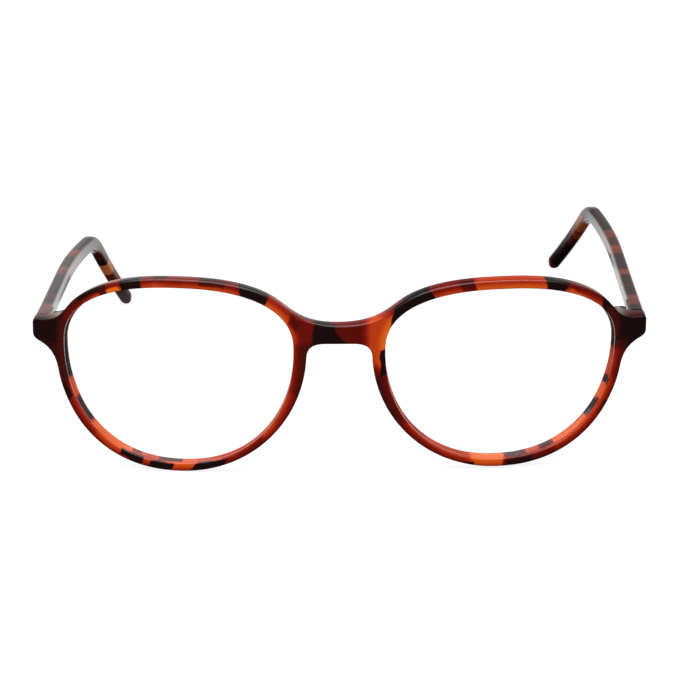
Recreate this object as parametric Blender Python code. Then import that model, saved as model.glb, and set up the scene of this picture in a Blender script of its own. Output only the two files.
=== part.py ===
"""Panto eyeglass frame in acetate: front, bonded nose pads, demo lenses, wire-cored temples and sunk hinges.

Each half of the front has its own flat coordinates: u to the right of the bridge's middle, v up from
the rims' lowest line, and a level behind the front face. The face curve bends them, and a pitch about
the X axis leans each half forward or back. In the world +X is right, as seen from the front, -Y is the
side that the front faces and +Z is up. The frame rests on its rims and a temple tip, with the middle
of its bounding box over the origin.
"""

import math

import bmesh
import bpy
from mathutils import Matrix, Vector, geometry

# Lens openings: a superellipse whose widest line lies above its middle, with the bridge between them.
OPENING_WIDTH = 0.0509
OPENING_RISE = 0.0137
OPENING_DROP = 0.0261
OPENING_UPPER_POWER = 2.36
OPENING_LOWER_POWER = 2.21
BRIDGE_WIDTH = 0.0201
OPENING_STEPS = 72

# How finely the outer edge is drawn, run by run from the bridge's top to its underside.
BROW_STEPS = 9
RIM_TOP_STEPS = 22
UPPER_STEPS = 8
CORNER_STEPS = 4
HEEL_STEPS = 5
LOWER_STEPS = 7
RIM_LOWER_STEPS = 44
NOSE_STEPS = 7
LEAST_POINT_SPACING = 0.0001

# Width of the rim round an opening, seen from the front.
RIM_TOP = 0.0020
RIM_BOTTOM = 0.0019
RIM_TEMPLE = 0.0017
RIM_BROW = 0.0022
RIM_NOSE = 0.0029
RIM_UPPER_POWER = 2.42
RIM_NOSE_POWER = 2.05

# The front as a whole.
FRONT_THICKNESS = 0.0036
EDGE_ROUND = 0.00045
OPENING_EDGE_ROUND = 0.0003
EDGE_STEPS = 2
FACE_CURVE_RADIUS = 0.170
FACE_FLAT_HALF = 0.012

# Bridge: its top stands above the openings' widest line.
BRIDGE_RISE = 0.00575
BRIDGE_HEIGHT = 0.00425
BRIDGE_CORNER = 0.0042
BROW_ANGLE = math.radians(131)
NOSE_ANGLE = math.radians(184)
BROW_PULL_SHARES = (0.56, 0.34)
NOSE_PULL_SHARES = (0.50, 0.50)

# End pieces, which reach out of the rims, carry the hinges and meet the temples at a flat.
ENDPIECE_REACH = 0.00515
ENDPIECE_RISE = 0.0049
ENDPIECE_TIP_HEIGHT = 0.0030
ENDPIECE_CORNER = 0.0008
ENDPIECE_LEDGE = 0.0022
ENDPIECE_HEEL_WIDTH = 0.0017
ENDPIECE_HEEL_DROP = 0.0021
ENDPIECE_HEEL_SLOPE = math.radians(28)
ENDPIECE_BLOCK_WIDTH = 0.0056
ENDPIECE_RAMP = 0.0010
RAMP_COLUMNS = 3
RAMP_ROWS = 8
JOINT_STANDOFF = 0.00034
ENDPIECE_UPPER_ANGLE = math.radians(37)
ENDPIECE_LOWER_ANGLE = math.radians(-11)
UPPER_PULL_SHARES = (0.40, 0.48)
LOWER_PULL_SHARES = (0.42, 0.34)
HEEL_PULL_SHARES = (0.45, 0.45)

# The frame in the photograph is a little twisted: its two halves lean by different angles.
FRONT_LEAN = math.radians(1.85)
TWIST_HALF = math.radians(2.6)
TWIST_REACH = 0.009

# Lenses sit with a ridge in a V groove inside each rim.
GROOVE_DEPTH = 0.0008
GROOVE_HALF_WIDTH = 0.0008
GROOVE_SETBACK = 0.0018
LENS_THICKNESS = 0.0015
LENS_RIDGE = 0.00045
LENS_GAP = 0.00035
LENS_STEPS = 56

# Nose pads, bonded behind the rims beside the nose.
PAD_MIDDLE_ANGLE = math.radians(207)
PAD_HALF_SPAN = math.radians(19)
PAD_HEIGHT = 0.0042
PAD_FLARE = 0.0010
PAD_DRAFT = 0.0007
PAD_INSET = 0.0002
PAD_STEPS = 24
PAD_DEPTH_SHARES = (0.0, 0.35, 0.65, 0.86, 0.96, 1.0)
PAD_SIZE_SHARES = (1.0, 0.97, 0.86, 0.66, 0.46, 0.22)

# Temples, measured from the butt joint along the outer face.
TEMPLE_LENGTH = 0.1396
TEMPLE_TO_BEND = {"left": 0.0917, "right": 0.0887}
TEMPLE_TO_BOW = 0.0510
BEND_RADIUS = 0.0235
BEND_ANGLE = math.radians(33.5)
BOW_RADIUS = 0.346
TEMPLE_SLOPES = {"left": math.radians(2.5), "right": math.radians(3.3)}
TEMPLE_BUTT_THICKNESS = 0.0033
TEMPLE_THICKNESS = 0.00285
TEMPLE_BUTT_HEIGHT = 0.0042
TEMPLE_HEIGHT = 0.0039
TEMPLE_TIP_HEIGHT = 0.0036
TEMPLE_BUTT_TAPER = 0.0150
TEMPLE_EDGE_ROUND = 0.0007
TEMPLE_END_ROUND = 0.0032
TEMPLE_INSET = 0.0002
END_HEIGHT_SHARE = 0.30
END_THICKNESS_SHARE = 0.50
STATION_STRAIGHT = 0.0070
STATION_BEND = 0.0020
WALK_STEPS = 280
TEMPLE_CORNER_STEPS = 3
END_STEPS = 4
END_ROUND_SHARE = 0.48

# Core wires, shot into the temples from their butt ends.
WIRE_RADIUS = 0.00040
WIRE_GAP = 0.00025
WIRE_START = 0.0130
WIRE_TIP_MARGIN = 0.0120
WIRE_SIDES = 10
ROUND_START_SHARE = 0.5

# Three-barrel hinges: two barrels on the front, one on the temple, and a screw through them.
BARREL_RADIUS = 0.00110
BARREL_HEIGHT = 0.00100
BARREL_GAP = 0.00020
BARREL_SIDES = 24
HINGE_FROM_TEMPLE = 0.00150
HINGE_FROM_JOINT = 0.00130
HINGE_WEB = 0.00130
LEAF_THICKNESS = 0.00060
LEAF_HEIGHT = 0.00300
LEAF_LENGTH = 0.00800
FOOT_DEPTH = 0.00080
FOOT_WIDTH = 0.00170
SCREW_RADIUS = 0.00055
SCREW_GAP = 0.00020
SCREW_HEAD_RADIUS = 0.00095
SCREW_HEAD_HEIGHT = 0.00035
SCREW_SLOT_WIDTH = 0.00030
SCREW_SLOT_DEPTH = 0.00018

# Gaps that touching and cut pieces keep, and the overrun of every cutter.
CLEARANCE = 0.0003
OVERRUN = 0.0010

SMOOTH_ANGLE = math.radians(32)
HEADING_NUDGE = math.radians(0.2)
QUARTER = math.pi / 2

HALF_OPENING = OPENING_WIDTH / 2
LENS_CENTRE = BRIDGE_WIDTH / 2 + HALF_OPENING
WIDEST_LINE = RIM_BOTTOM + OPENING_DROP
BRIDGE_TOP = WIDEST_LINE + BRIDGE_RISE
BRIDGE_UNDERSIDE = BRIDGE_TOP - BRIDGE_HEIGHT
TWIST_AXIS = BRIDGE_TOP - BRIDGE_HEIGHT / 2
ENDPIECE_TOP = WIDEST_LINE + ENDPIECE_RISE
ENDPIECE_TIP_FOOT = ENDPIECE_TOP - ENDPIECE_TIP_HEIGHT
HALF_WIDTH = LENS_CENTRE + HALF_OPENING + RIM_TEMPLE + ENDPIECE_REACH
JOINT_DEPTH = (HALF_WIDTH - FACE_FLAT_HALF) ** 2 / (2 * FACE_CURVE_RADIUS) + FRONT_THICKNESS + JOINT_STANDOFF
TEMPLE_LIFT = ENDPIECE_TOP - TEMPLE_BUTT_HEIGHT / 2
BLOCK_EDGE = HALF_WIDTH - ENDPIECE_BLOCK_WIDTH
TEMPLE_OUTER = HALF_WIDTH - TEMPLE_INSET
TEMPLE_INNER = TEMPLE_OUTER - TEMPLE_BUTT_THICKNESS
HINGE_U = TEMPLE_INNER - HINGE_FROM_TEMPLE
HINGE_DEPTH = JOINT_DEPTH + HINGE_FROM_JOINT
BARREL_PITCH = BARREL_HEIGHT + BARREL_GAP
BARREL_STACK = BARREL_HEIGHT + 2 * BARREL_PITCH
SIDES = {"left": -1, "right": 1}


def clear_scene():
    for item in list(bpy.data.objects):
        bpy.data.objects.remove(item, do_unlink=True)


def smoothstep(low, high, value):
    share = min(max((value - low) / (high - low), 0), 1)
    return share * share * (3 - 2 * share)


def acetate(name, colour):
    return material(name, colour, roughness=0.18, metallic=0)


def material(name, colour, roughness, metallic, alpha=1):
    made = bpy.data.materials.new(name)
    made.use_nodes = True
    shader = made.node_tree.nodes["Principled BSDF"]
    shader.inputs["Base Color"].default_value = (*colour, 1)
    shader.inputs["Roughness"].default_value = roughness
    shader.inputs["Metallic"].default_value = metallic
    shader.inputs["Alpha"].default_value = alpha
    return made


def object_from(name, shape, parent=None, finish=None):
    """Turns a bmesh into an object with faces outwards, and frees the bmesh."""
    bmesh.ops.recalc_face_normals(shape, faces=shape.faces)
    mesh = bpy.data.meshes.new(name)
    shape.to_mesh(mesh)
    shape.free()
    mesh.shade_smooth()
    mesh.set_sharp_from_angle(angle=SMOOTH_ANGLE)
    made = bpy.data.objects.new(name, mesh)
    bpy.context.scene.collection.objects.link(made)
    made.parent = parent
    if finish:
        mesh.materials.append(finish)
    return made


def empty(name, location, parent=None, pitch=0):
    made = bpy.data.objects.new(name, None)
    made.location = location
    made.rotation_euler = (pitch, 0, 0)
    made.parent = parent
    bpy.context.scene.collection.objects.link(made)
    return made


def cut(target, cutter):
    """Subtracts the cutter, which then stays hidden in the scene."""
    modifier = target.modifiers.new(f"cut by {cutter.name}", "BOOLEAN")
    modifier.operation = "DIFFERENCE"
    modifier.solver = "EXACT"
    modifier.object = cutter
    cutter.hide_render = True
    cutter.display_type = "WIRE"


def join(target, tool):
    """Adds the tool to the target, and leaves the tool hidden in the scene."""
    modifier = target.modifiers.new(f"joined with {tool.name}", "BOOLEAN")
    modifier.operation = "UNION"
    modifier.solver = "EXACT"
    modifier.object = tool
    tool.hide_render = True
    tool.display_type = "WIRE"


def superellipse(width, height, power, angle):
    across = math.cos(angle)
    along = math.sin(angle)
    return Vector(
        (
            width * math.copysign(abs(across) ** (2 / power), across),
            height * math.copysign(abs(along) ** (2 / power), along),
        )
    )


def opening_point(angle):
    """A point of the lens opening, from the middle of its widest line; angle 0 is the temple side."""
    if math.sin(angle) >= 0:
        return superellipse(HALF_OPENING, OPENING_RISE, OPENING_UPPER_POWER, angle)
    return superellipse(HALF_OPENING, OPENING_DROP, OPENING_LOWER_POWER, angle)


def rim_point(angle):
    """A point of the rim's outer edge at the same kind of angle."""
    outer = math.cos(angle) >= 0
    if math.sin(angle) >= 0:
        side = RIM_TEMPLE if outer else RIM_BROW
        return superellipse(HALF_OPENING + side, OPENING_RISE + RIM_TOP, RIM_UPPER_POWER, angle)
    side = RIM_TEMPLE if outer else RIM_NOSE
    power = OPENING_LOWER_POWER if outer else RIM_NOSE_POWER
    return superellipse(HALF_OPENING + side, OPENING_DROP + RIM_BOTTOM, power, angle)


def on_front(point):
    """Moves a point from the lens's own middle to the front's coordinates."""
    return Vector((LENS_CENTRE + point.x, WIDEST_LINE + point.y))


def rim_heading(angle):
    """The direction in which the rim's outer edge runs as the angle falls."""
    return (rim_point(angle - HEADING_NUDGE) - rim_point(angle + HEADING_NUDGE)).normalized()


def arc_of_rim(start, end, steps):
    return [on_front(rim_point(start + (end - start) * i / steps)) for i in range(steps + 1)]


def blend(start, start_heading, end, end_heading, pull_shares, steps):
    """A smooth curve that leaves start and reaches end along the given headings."""
    reach = (end - start).length
    first = start + start_heading * reach * pull_shares[0]
    second = end - end_heading * reach * pull_shares[1]
    flat = [Vector((p.x, p.y, 0)) for p in (start, first, second, end)]
    return [p.to_2d() for p in geometry.interpolate_bezier(*flat, steps + 1)]


def half_outline():
    """The front's outer edge on the right half, from the bridge's top to its underside."""
    right = Vector((1, 0))
    left = Vector((-1, 0))
    down = Vector((0, -1))
    up = Vector((0, 1))
    brow = on_front(rim_point(BROW_ANGLE))
    upper = on_front(rim_point(ENDPIECE_UPPER_ANGLE))
    lower = on_front(rim_point(ENDPIECE_LOWER_ANGLE))
    nose = on_front(rim_point(NOSE_ANGLE))
    brow_heading = rim_heading(BROW_ANGLE)
    upper_heading = rim_heading(ENDPIECE_UPPER_ANGLE)
    lower_heading = rim_heading(ENDPIECE_LOWER_ANGLE)
    ledge = Vector((HALF_WIDTH - ENDPIECE_LEDGE, ENDPIECE_TOP))
    corner_start = Vector((HALF_WIDTH - ENDPIECE_CORNER, ENDPIECE_TOP))
    corner_end = Vector((HALF_WIDTH, ENDPIECE_TOP - ENDPIECE_CORNER))
    tip_foot = Vector((HALF_WIDTH, ENDPIECE_TIP_FOOT))
    heel = Vector((HALF_WIDTH - ENDPIECE_HEEL_WIDTH, ENDPIECE_TIP_FOOT - ENDPIECE_HEEL_DROP))
    heel_heading = Vector((-math.cos(ENDPIECE_HEEL_SLOPE), -math.sin(ENDPIECE_HEEL_SLOPE)))
    underside = Vector((nose.x - BRIDGE_CORNER, BRIDGE_UNDERSIDE))
    runs = [
        blend(Vector((0, BRIDGE_TOP)), right, brow, brow_heading, BROW_PULL_SHARES, BROW_STEPS),
        arc_of_rim(BROW_ANGLE, ENDPIECE_UPPER_ANGLE, RIM_TOP_STEPS),
        blend(upper, upper_heading, ledge, right, UPPER_PULL_SHARES, UPPER_STEPS),
        blend(corner_start, right, corner_end, down, HEEL_PULL_SHARES, CORNER_STEPS),
        blend(tip_foot, down, heel, heel_heading, HEEL_PULL_SHARES, HEEL_STEPS),
        blend(heel, heel_heading, lower, lower_heading, LOWER_PULL_SHARES, LOWER_STEPS),
        arc_of_rim(ENDPIECE_LOWER_ANGLE, NOSE_ANGLE - math.tau, RIM_LOWER_STEPS),
        blend(nose, up, underside, left, NOSE_PULL_SHARES, NOSE_STEPS),
        [Vector((0, BRIDGE_UNDERSIDE))],
    ]
    points = []
    for run in runs:
        for point in run:
            if not points or (point - points[-1]).length > LEAST_POINT_SPACING:
                points.append(point)
    return points


def outer_loop():
    """The whole outer edge: the right half and its mirror image, clockwise from the bridge's top."""
    right_half = half_outline()
    left_half = [Vector((-p.x, p.y)) for p in reversed(right_half[1:-1])]
    return right_half + left_half


def opening_loop(side, steps):
    """One opening's edge, anticlockwise on the right half and clockwise on the left."""
    points = [on_front(opening_point(math.tau * i / steps)) for i in range(steps)]
    return [Vector((side * p.x, p.y)) for p in points]


def signed_area(loop):
    return sum(a.x * b.y - b.x * a.y for a, b in zip(loop, loop[1:] + loop[:1])) / 2


def grown(loop, distance):
    """The loop moved outwards along its own normals."""
    turn = math.copysign(1, signed_area(loop))
    moved = []
    for i, point in enumerate(loop):
        run = loop[(i + 1) % len(loop)] - loop[i - 1]
        normal = Vector((run.y, -run.x)).normalized() * turn
        moved.append(point + normal * distance)
    return moved


def pitch_at(u):
    """How far the frame leans forward at this place across its width."""
    share = smoothstep(-TWIST_REACH, TWIST_REACH, u)
    return FRONT_LEAN + TWIST_HALF * (2 * share - 1)


def face_depth(u):
    return max(abs(u) - FACE_FLAT_HALF, 0) ** 2 / (2 * FACE_CURVE_RADIUS)


def bent(point, level):
    """Carries a point of the flat front at a level behind the front face onto the face curve.

    The result's height is counted from the twist axis, about which each half leans.
    """
    slope = math.copysign(max(abs(point.x) - FACE_FLAT_HALF, 0) / FACE_CURVE_RADIUS, point.x)
    stretch = math.hypot(1, slope)
    half_block = ENDPIECE_BLOCK_WIDTH / 2
    square = smoothstep(BLOCK_EDGE - half_block, BLOCK_EDGE + half_block, abs(point.x))
    u = point.x - (1 - square) * level * slope / stretch
    depth = face_depth(point.x) + level / stretch
    if level > FRONT_THICKNESS / 2:
        behind = face_depth(point.x) + FRONT_THICKNESS / stretch
        raised = smoothstep(BLOCK_EDGE - ENDPIECE_RAMP, BLOCK_EDGE, abs(point.x))
        depth += raised * (JOINT_DEPTH - behind)
    return Vector((u, depth, point.y - TWIST_AXIS))


def placed(point, level):
    """A point of the front in the world, with the twist of the bridge."""
    leant = Matrix.Rotation(pitch_at(point.x), 3, "X") @ bent(point, level)
    return leant + Vector((0, 0, TWIST_AXIS))


def inside(point, loop):
    """True where the point lies within the closed loop."""
    crossings = 0
    for a, b in zip(loop, loop[1:] + loop[:1]):
        if (a.y > point.y) != (b.y > point.y):
            crossings += point.x < a.x + (point.y - a.y) * (b.x - a.x) / (b.y - a.y)
    return crossings % 2 == 1


def face_triangles(outline, holes, extra):
    """Triangles between an outline and its holes; extra points are joined into them."""
    loops = [outline] + holes
    points = []
    edges = []
    for loop in loops:
        first = len(points)
        points += loop
        edges += [(first + i, first + (i + 1) % len(loop)) for i in range(len(loop))]
    points += extra
    fill = geometry.delaunay_2d_cdt(points, edges, [], 0, 0)
    corners, triangles = fill[0], fill[2]
    kept = []
    for triangle in triangles:
        middle = (corners[triangle[0]] + corners[triangle[1]] + corners[triangle[2]]) / 3
        if inside(middle, outline) and not any(inside(middle, hole) for hole in holes):
            kept.append(triangle)
    return kept


def rounded_edge(radius, steps):
    """Level and inset pairs that carry a face round a rounded edge to its side wall."""
    pairs = []
    for i in range(steps + 1):
        turn = QUARTER * i / steps
        pairs.append((radius * (1 - math.cos(turn)), radius * (1 - math.sin(turn))))
    return pairs


def ring_faces(shape, rings):
    """Quads between neighbouring closed rings of vertices."""
    for lower, upper in zip(rings, rings[1:]):
        for i in range(len(lower)):
            j = (i + 1) % len(lower)
            shape.faces.new((lower[i], lower[j], upper[j], upper[i]))


def block_points(outline):
    """Points that let the back face rise onto the flat of an end piece."""
    lowest = min(p.y for p in outline if abs(p.x) > BLOCK_EDGE)
    found = []
    for side in SIDES.values():
        for column in range(RAMP_COLUMNS + 1):
            u = side * (BLOCK_EDGE - ENDPIECE_RAMP * column / RAMP_COLUMNS)
            for row in range(RAMP_ROWS):
                v = lowest + (ENDPIECE_TOP - lowest) * row / RAMP_ROWS
                point = Vector((u, v))
                if inside(point, outline) and clear_of(point, outline):
                    found.append(point)
    return found


def clear_of(point, outline):
    return min((point - corner).length for corner in outline) > EDGE_ROUND


def front_shape():
    """The milled front: a rounded outer edge, two grooved openings and two filled faces."""
    shape = bmesh.new()
    outline = outer_loop()
    openings = [opening_loop(side, OPENING_STEPS) for side in SIDES.values()]
    thickness = FRONT_THICKNESS
    edge = rounded_edge(EDGE_ROUND, EDGE_STEPS)
    outer_profile = edge + [(thickness - level, inset) for level, inset in reversed(edge)]
    lip = rounded_edge(OPENING_EDGE_ROUND, 1)
    groove = [
        (GROOVE_SETBACK - GROOVE_HALF_WIDTH, 0),
        (GROOVE_SETBACK, GROOVE_DEPTH),
        (GROOVE_SETBACK + GROOVE_HALF_WIDTH, 0),
    ]
    opening_profile = lip + groove + [(thickness - level, inset) for level, inset in reversed(lip)]

    def rings(loop, profile, direction):
        made = []
        for level, inset in profile:
            moved = grown(loop, direction * inset)
            made.append([shape.verts.new(placed(p, level)) for p in moved])
        return made

    outer_rings = rings(outline, outer_profile, -1)
    opening_rings = [rings(loop, opening_profile, 1) for loop in openings]
    for group in [outer_rings] + opening_rings:
        ring_faces(shape, group)
    face_outline = grown(outline, -EDGE_ROUND)
    face_openings = [grown(loop, OPENING_EDGE_ROUND) for loop in openings]
    for end, level in ((0, 0), (-1, thickness)):
        extra = block_points(face_outline) if level else []
        triangles = face_triangles(face_outline, face_openings, extra)
        verts = list(outer_rings[end])
        for group in opening_rings:
            verts += group[end]
        verts += [shape.verts.new(placed(p, level)) for p in extra]
        for triangle in triangles:
            shape.faces.new([verts[i] for i in triangle])
    return shape


def lens_shape(side):
    """A thin lens that follows the face curve, with a ridge round its edge for the groove."""
    shape = bmesh.new()
    loop = opening_loop(side, LENS_STEPS)
    front_level = GROOVE_SETBACK - LENS_THICKNESS / 2
    back_level = GROOVE_SETBACK + LENS_THICKNESS / 2
    profile = [(front_level, -LENS_GAP), (GROOVE_SETBACK, LENS_RIDGE), (back_level, -LENS_GAP)]
    rings = []
    for level, growth in profile:
        rings.append([shape.verts.new(bent(p, level)) for p in grown(loop, growth)])
    ring_faces(shape, rings)
    triangles = face_triangles(grown(loop, -LENS_GAP), [], [])
    for ring in (rings[0], rings[-1]):
        for triangle in triangles:
            shape.faces.new([ring[i] for i in triangle])
    return shape


def pad_shape(side):
    """A nose pad: an oval foot behind the rim that narrows, domes and flares away from the nose."""
    shape = bmesh.new()
    foot_level = FRONT_THICKNESS + CLEARANCE
    rings = []
    for depth_share, size_share in zip(PAD_DEPTH_SHARES, PAD_SIZE_SHARES):
        ring = []
        for i in range(PAD_STEPS):
            turn = math.tau * i / PAD_STEPS
            angle = PAD_MIDDLE_ANGLE + PAD_HALF_SPAN * size_share * math.cos(turn)
            nose_side = on_front(rim_point(angle))
            lens_side = on_front(opening_point(angle))
            across = (nose_side - lens_side).normalized()
            lens_edge = PAD_INSET + PAD_DRAFT * depth_share
            nose_edge = (nose_side - lens_side).length - PAD_INSET - PAD_FLARE * depth_share**2
            half_width = (nose_edge - lens_edge) / 2
            reach = lens_edge + half_width * (1 + size_share * math.sin(turn))
            point = lens_side + across * reach
            point.x *= side
            ring.append(shape.verts.new(bent(point, foot_level) + Vector((0, PAD_HEIGHT * depth_share, 0))))
        rings.append(ring)
    ring_faces(shape, rings)
    shape.faces.new(rings[0])
    shape.faces.new(rings[-1])
    return shape


def temple_walk(side_name):
    """The outer face's middle line from butt to tip, as (length, place, heading) at small steps."""
    place = Vector((TEMPLE_OUTER, JOINT_DEPTH + CLEARANCE, TEMPLE_LIFT))
    step = TEMPLE_LENGTH / WALK_STEPS
    walked = []
    for i in range(WALK_STEPS + 1):
        length = step * i
        bend_share = (length - TEMPLE_TO_BEND[side_name]) / (BEND_RADIUS * BEND_ANGLE)
        fall = TEMPLE_SLOPES[side_name] + BEND_ANGLE * min(max(bend_share, 0), 1)
        turn_in = max(length - TEMPLE_TO_BOW, 0) / BOW_RADIUS
        heading = Vector(
            (-math.sin(turn_in) * math.cos(fall), math.cos(turn_in) * math.cos(fall), -math.sin(fall))
        )
        walked.append((length, place.copy(), heading))
        place += heading * step
    return walked


def temple_stations(side_name):
    """Lengths along the temple at which a section is drawn."""
    bend_start = TEMPLE_TO_BEND[side_name]
    bend_end = bend_start + BEND_RADIUS * BEND_ANGLE
    end_start = TEMPLE_LENGTH - TEMPLE_END_ROUND
    lengths = [0, TEMPLE_BUTT_TAPER / 2, TEMPLE_BUTT_TAPER, TEMPLE_TO_BOW]
    spans = [
        (TEMPLE_TO_BOW, bend_start, STATION_STRAIGHT),
        (bend_start, bend_end, STATION_BEND),
        (bend_end, end_start, STATION_STRAIGHT),
    ]
    for start, end, spacing in spans:
        count = max(math.ceil((end - start) / spacing), 1)
        lengths += [start + (end - start) * i / count for i in range(1, count + 1)]
    return lengths


def temple_size(length):
    """Thickness and height of the temple's section at a length."""
    butt = 1 - smoothstep(0, TEMPLE_BUTT_TAPER, length)
    tip = smoothstep(TEMPLE_TO_BOW, TEMPLE_LENGTH - TEMPLE_END_ROUND, length)
    thickness = TEMPLE_THICKNESS + (TEMPLE_BUTT_THICKNESS - TEMPLE_THICKNESS) * butt
    height = TEMPLE_HEIGHT + (TEMPLE_BUTT_HEIGHT - TEMPLE_HEIGHT) * butt
    height += (TEMPLE_TIP_HEIGHT - TEMPLE_HEIGHT) * tip
    return thickness, height


def section_frame(walked, length):
    """Place, inward direction and upward direction of the section at a length."""
    at = length / TEMPLE_LENGTH * (len(walked) - 1)
    low = min(int(at), len(walked) - 2)
    share = at - low
    place = walked[low][1].lerp(walked[low + 1][1], share)
    heading = walked[low][2].lerp(walked[low + 1][2], share).normalized()
    inward = Vector((0, 0, 1)).cross(heading).normalized()
    upward = heading.cross(inward).normalized()
    return place, inward, upward


def rounded_section(thickness, height, radius):
    """Corners of a rounded rectangle, as (from its middle inward, from its middle up)."""
    points = []
    for corner, (sign_in, sign_up) in enumerate(((1, 1), (-1, 1), (-1, -1), (1, -1))):
        centre = Vector((sign_in * (thickness / 2 - radius), sign_up * (height / 2 - radius)))
        for i in range(TEMPLE_CORNER_STEPS + 1):
            turn = QUARTER * (corner + i / TEMPLE_CORNER_STEPS)
            points.append(centre + Vector((math.cos(turn), math.sin(turn))) * radius)
    return points


def temple_shape(side_name):
    """The temple with its wire channel, which is open at the butt end."""
    shape = bmesh.new()
    side = SIDES[side_name]
    walked = temple_walk(side_name)
    stations = temple_stations(side_name)
    pivot = Vector((HINGE_U, HINGE_DEPTH, TEMPLE_LIFT))

    def ring(length, section, thickness):
        place, inward, upward = section_frame(walked, length)
        made = []
        for point in section:
            at = place + inward * (thickness / 2 + point.x) + upward * point.y - pivot
            made.append(shape.verts.new(Vector((side * at.x, at.y, at.z))))
        return made

    rings = []
    for length in stations:
        thickness, height = temple_size(length)
        rings.append(ring(length, rounded_section(thickness, height, TEMPLE_EDGE_ROUND), thickness))
    thickness, height = temple_size(TEMPLE_LENGTH)
    for i in range(1, END_STEPS + 1):
        turn = QUARTER * i / END_STEPS
        shrink = math.cos(turn)
        length = TEMPLE_LENGTH - TEMPLE_END_ROUND * (1 - math.sin(turn))
        end_thickness = thickness * (END_THICKNESS_SHARE + (1 - END_THICKNESS_SHARE) * shrink)
        end_height = height * (END_HEIGHT_SHARE + (1 - END_HEIGHT_SHARE) * shrink)
        round_here = min(TEMPLE_EDGE_ROUND, END_ROUND_SHARE * min(end_thickness, end_height))
        rings.append(ring(length, rounded_section(end_thickness, end_height, round_here), thickness))
    ring_faces(shape, rings)
    shape.faces.new(rings[-1])

    channel_section = round_section(WIRE_RADIUS + WIRE_GAP, len(rings[0]))
    channel_end = TEMPLE_LENGTH - WIRE_TIP_MARGIN + WIRE_GAP
    channel_rings = []
    for length in [at for at in stations if at < channel_end] + [channel_end]:
        thickness, height = temple_size(length)
        channel_rings.append(ring(length, channel_section, thickness))
    ring_faces(shape, channel_rings)
    shape.faces.new(channel_rings[-1])
    ring_faces(shape, [rings[0], channel_rings[0]])
    return shape


def round_section(radius, count):
    """Points evenly round a circle, the first one a little above the inward direction."""
    turns = [math.tau * (i + ROUND_START_SHARE) / count for i in range(count)]
    return [Vector((math.cos(turn), math.sin(turn))) * radius for turn in turns]


def wire_shape(side_name):
    """The round core wire, which follows the channel from behind the hinge to near the tip."""
    shape = bmesh.new()
    side = SIDES[side_name]
    walked = temple_walk(side_name)
    pivot = Vector((HINGE_U, HINGE_DEPTH, TEMPLE_LIFT))
    end = TEMPLE_LENGTH - WIRE_TIP_MARGIN
    rings = []
    section = round_section(WIRE_RADIUS, WIRE_SIDES)
    for length in [WIRE_START] + [at for at in temple_stations(side_name) if WIRE_START < at < end] + [end]:
        thickness = temple_size(length)[0]
        place, inward, upward = section_frame(walked, length)
        ring = []
        for point in section:
            at = place + inward * (thickness / 2 + point.x) + upward * point.y - pivot
            ring.append(shape.verts.new(Vector((side * at.x, at.y, at.z))))
        rings.append(ring)
    ring_faces(shape, rings)
    shape.faces.new(rings[0])
    shape.faces.new(rings[-1])
    return shape


def box_shape(low, high):
    shape = bmesh.new()
    bmesh.ops.create_cube(shape, size=1)
    middle = (low + high) / 2
    size = high - low
    for vert in shape.verts:
        vert.co = Vector((vert.co.x * size.x, vert.co.y * size.y, vert.co.z * size.z)) + middle
    return shape


def rod_shape(radius, bottom, top):
    """An upright cylinder about its own origin."""
    shape = bmesh.new()
    bmesh.ops.create_cone(
        shape,
        cap_ends=True,
        segments=BARREL_SIDES,
        radius1=radius,
        radius2=radius,
        depth=top - bottom,
        matrix=Matrix.Translation((0, 0, (top + bottom) / 2)),
    )
    return shape


def mirrored_box(side, low, high):
    """A box given for the right side, turned over for the left one."""
    if side < 0:
        low, high = Vector((-high.x, low.y, low.z)), Vector((-low.x, high.y, high.z))
    return box_shape(low, high)


def barrel(name, pivot, level, finish):
    """One hinge barrel, numbered 0 to 2 from the bottom of the stack."""
    bottom = level * BARREL_PITCH - BARREL_STACK / 2
    return object_from(name, rod_shape(BARREL_RADIUS, bottom, bottom + BARREL_HEIGHT), pivot, finish)


def front_hinge(side_name, side, pivot, finish):
    """Two barrels on a foot that is sunk into the flat behind the end piece."""
    hinge = barrel(f"front_hinge_{side_name}", pivot, 0, finish)
    join(hinge, barrel(f"upper_barrel_{side_name}", pivot, 2, finish))
    foot_floor = -HINGE_FROM_JOINT - FOOT_DEPTH + CLEARANCE
    foot_face = -HINGE_FROM_JOINT
    half = BARREL_STACK / 2
    foot_low = Vector((-FOOT_WIDTH / 2, foot_floor, -half))
    foot_high = Vector((FOOT_WIDTH / 2, foot_face, half))
    foot = mirrored_box(side, foot_low, foot_high)
    join(hinge, object_from(f"hinge_foot_{side_name}", foot, pivot))
    for level in (0, 2):
        bottom = level * BARREL_PITCH - half
        web = mirrored_box(
            side,
            Vector((-HINGE_WEB / 2, foot_floor + CLEARANCE / 2, bottom)),
            Vector((HINGE_WEB / 2, 0, bottom + BARREL_HEIGHT)),
        )
        join(hinge, object_from(f"front_web_{level}_{side_name}", web, pivot))
    return hinge


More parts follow.
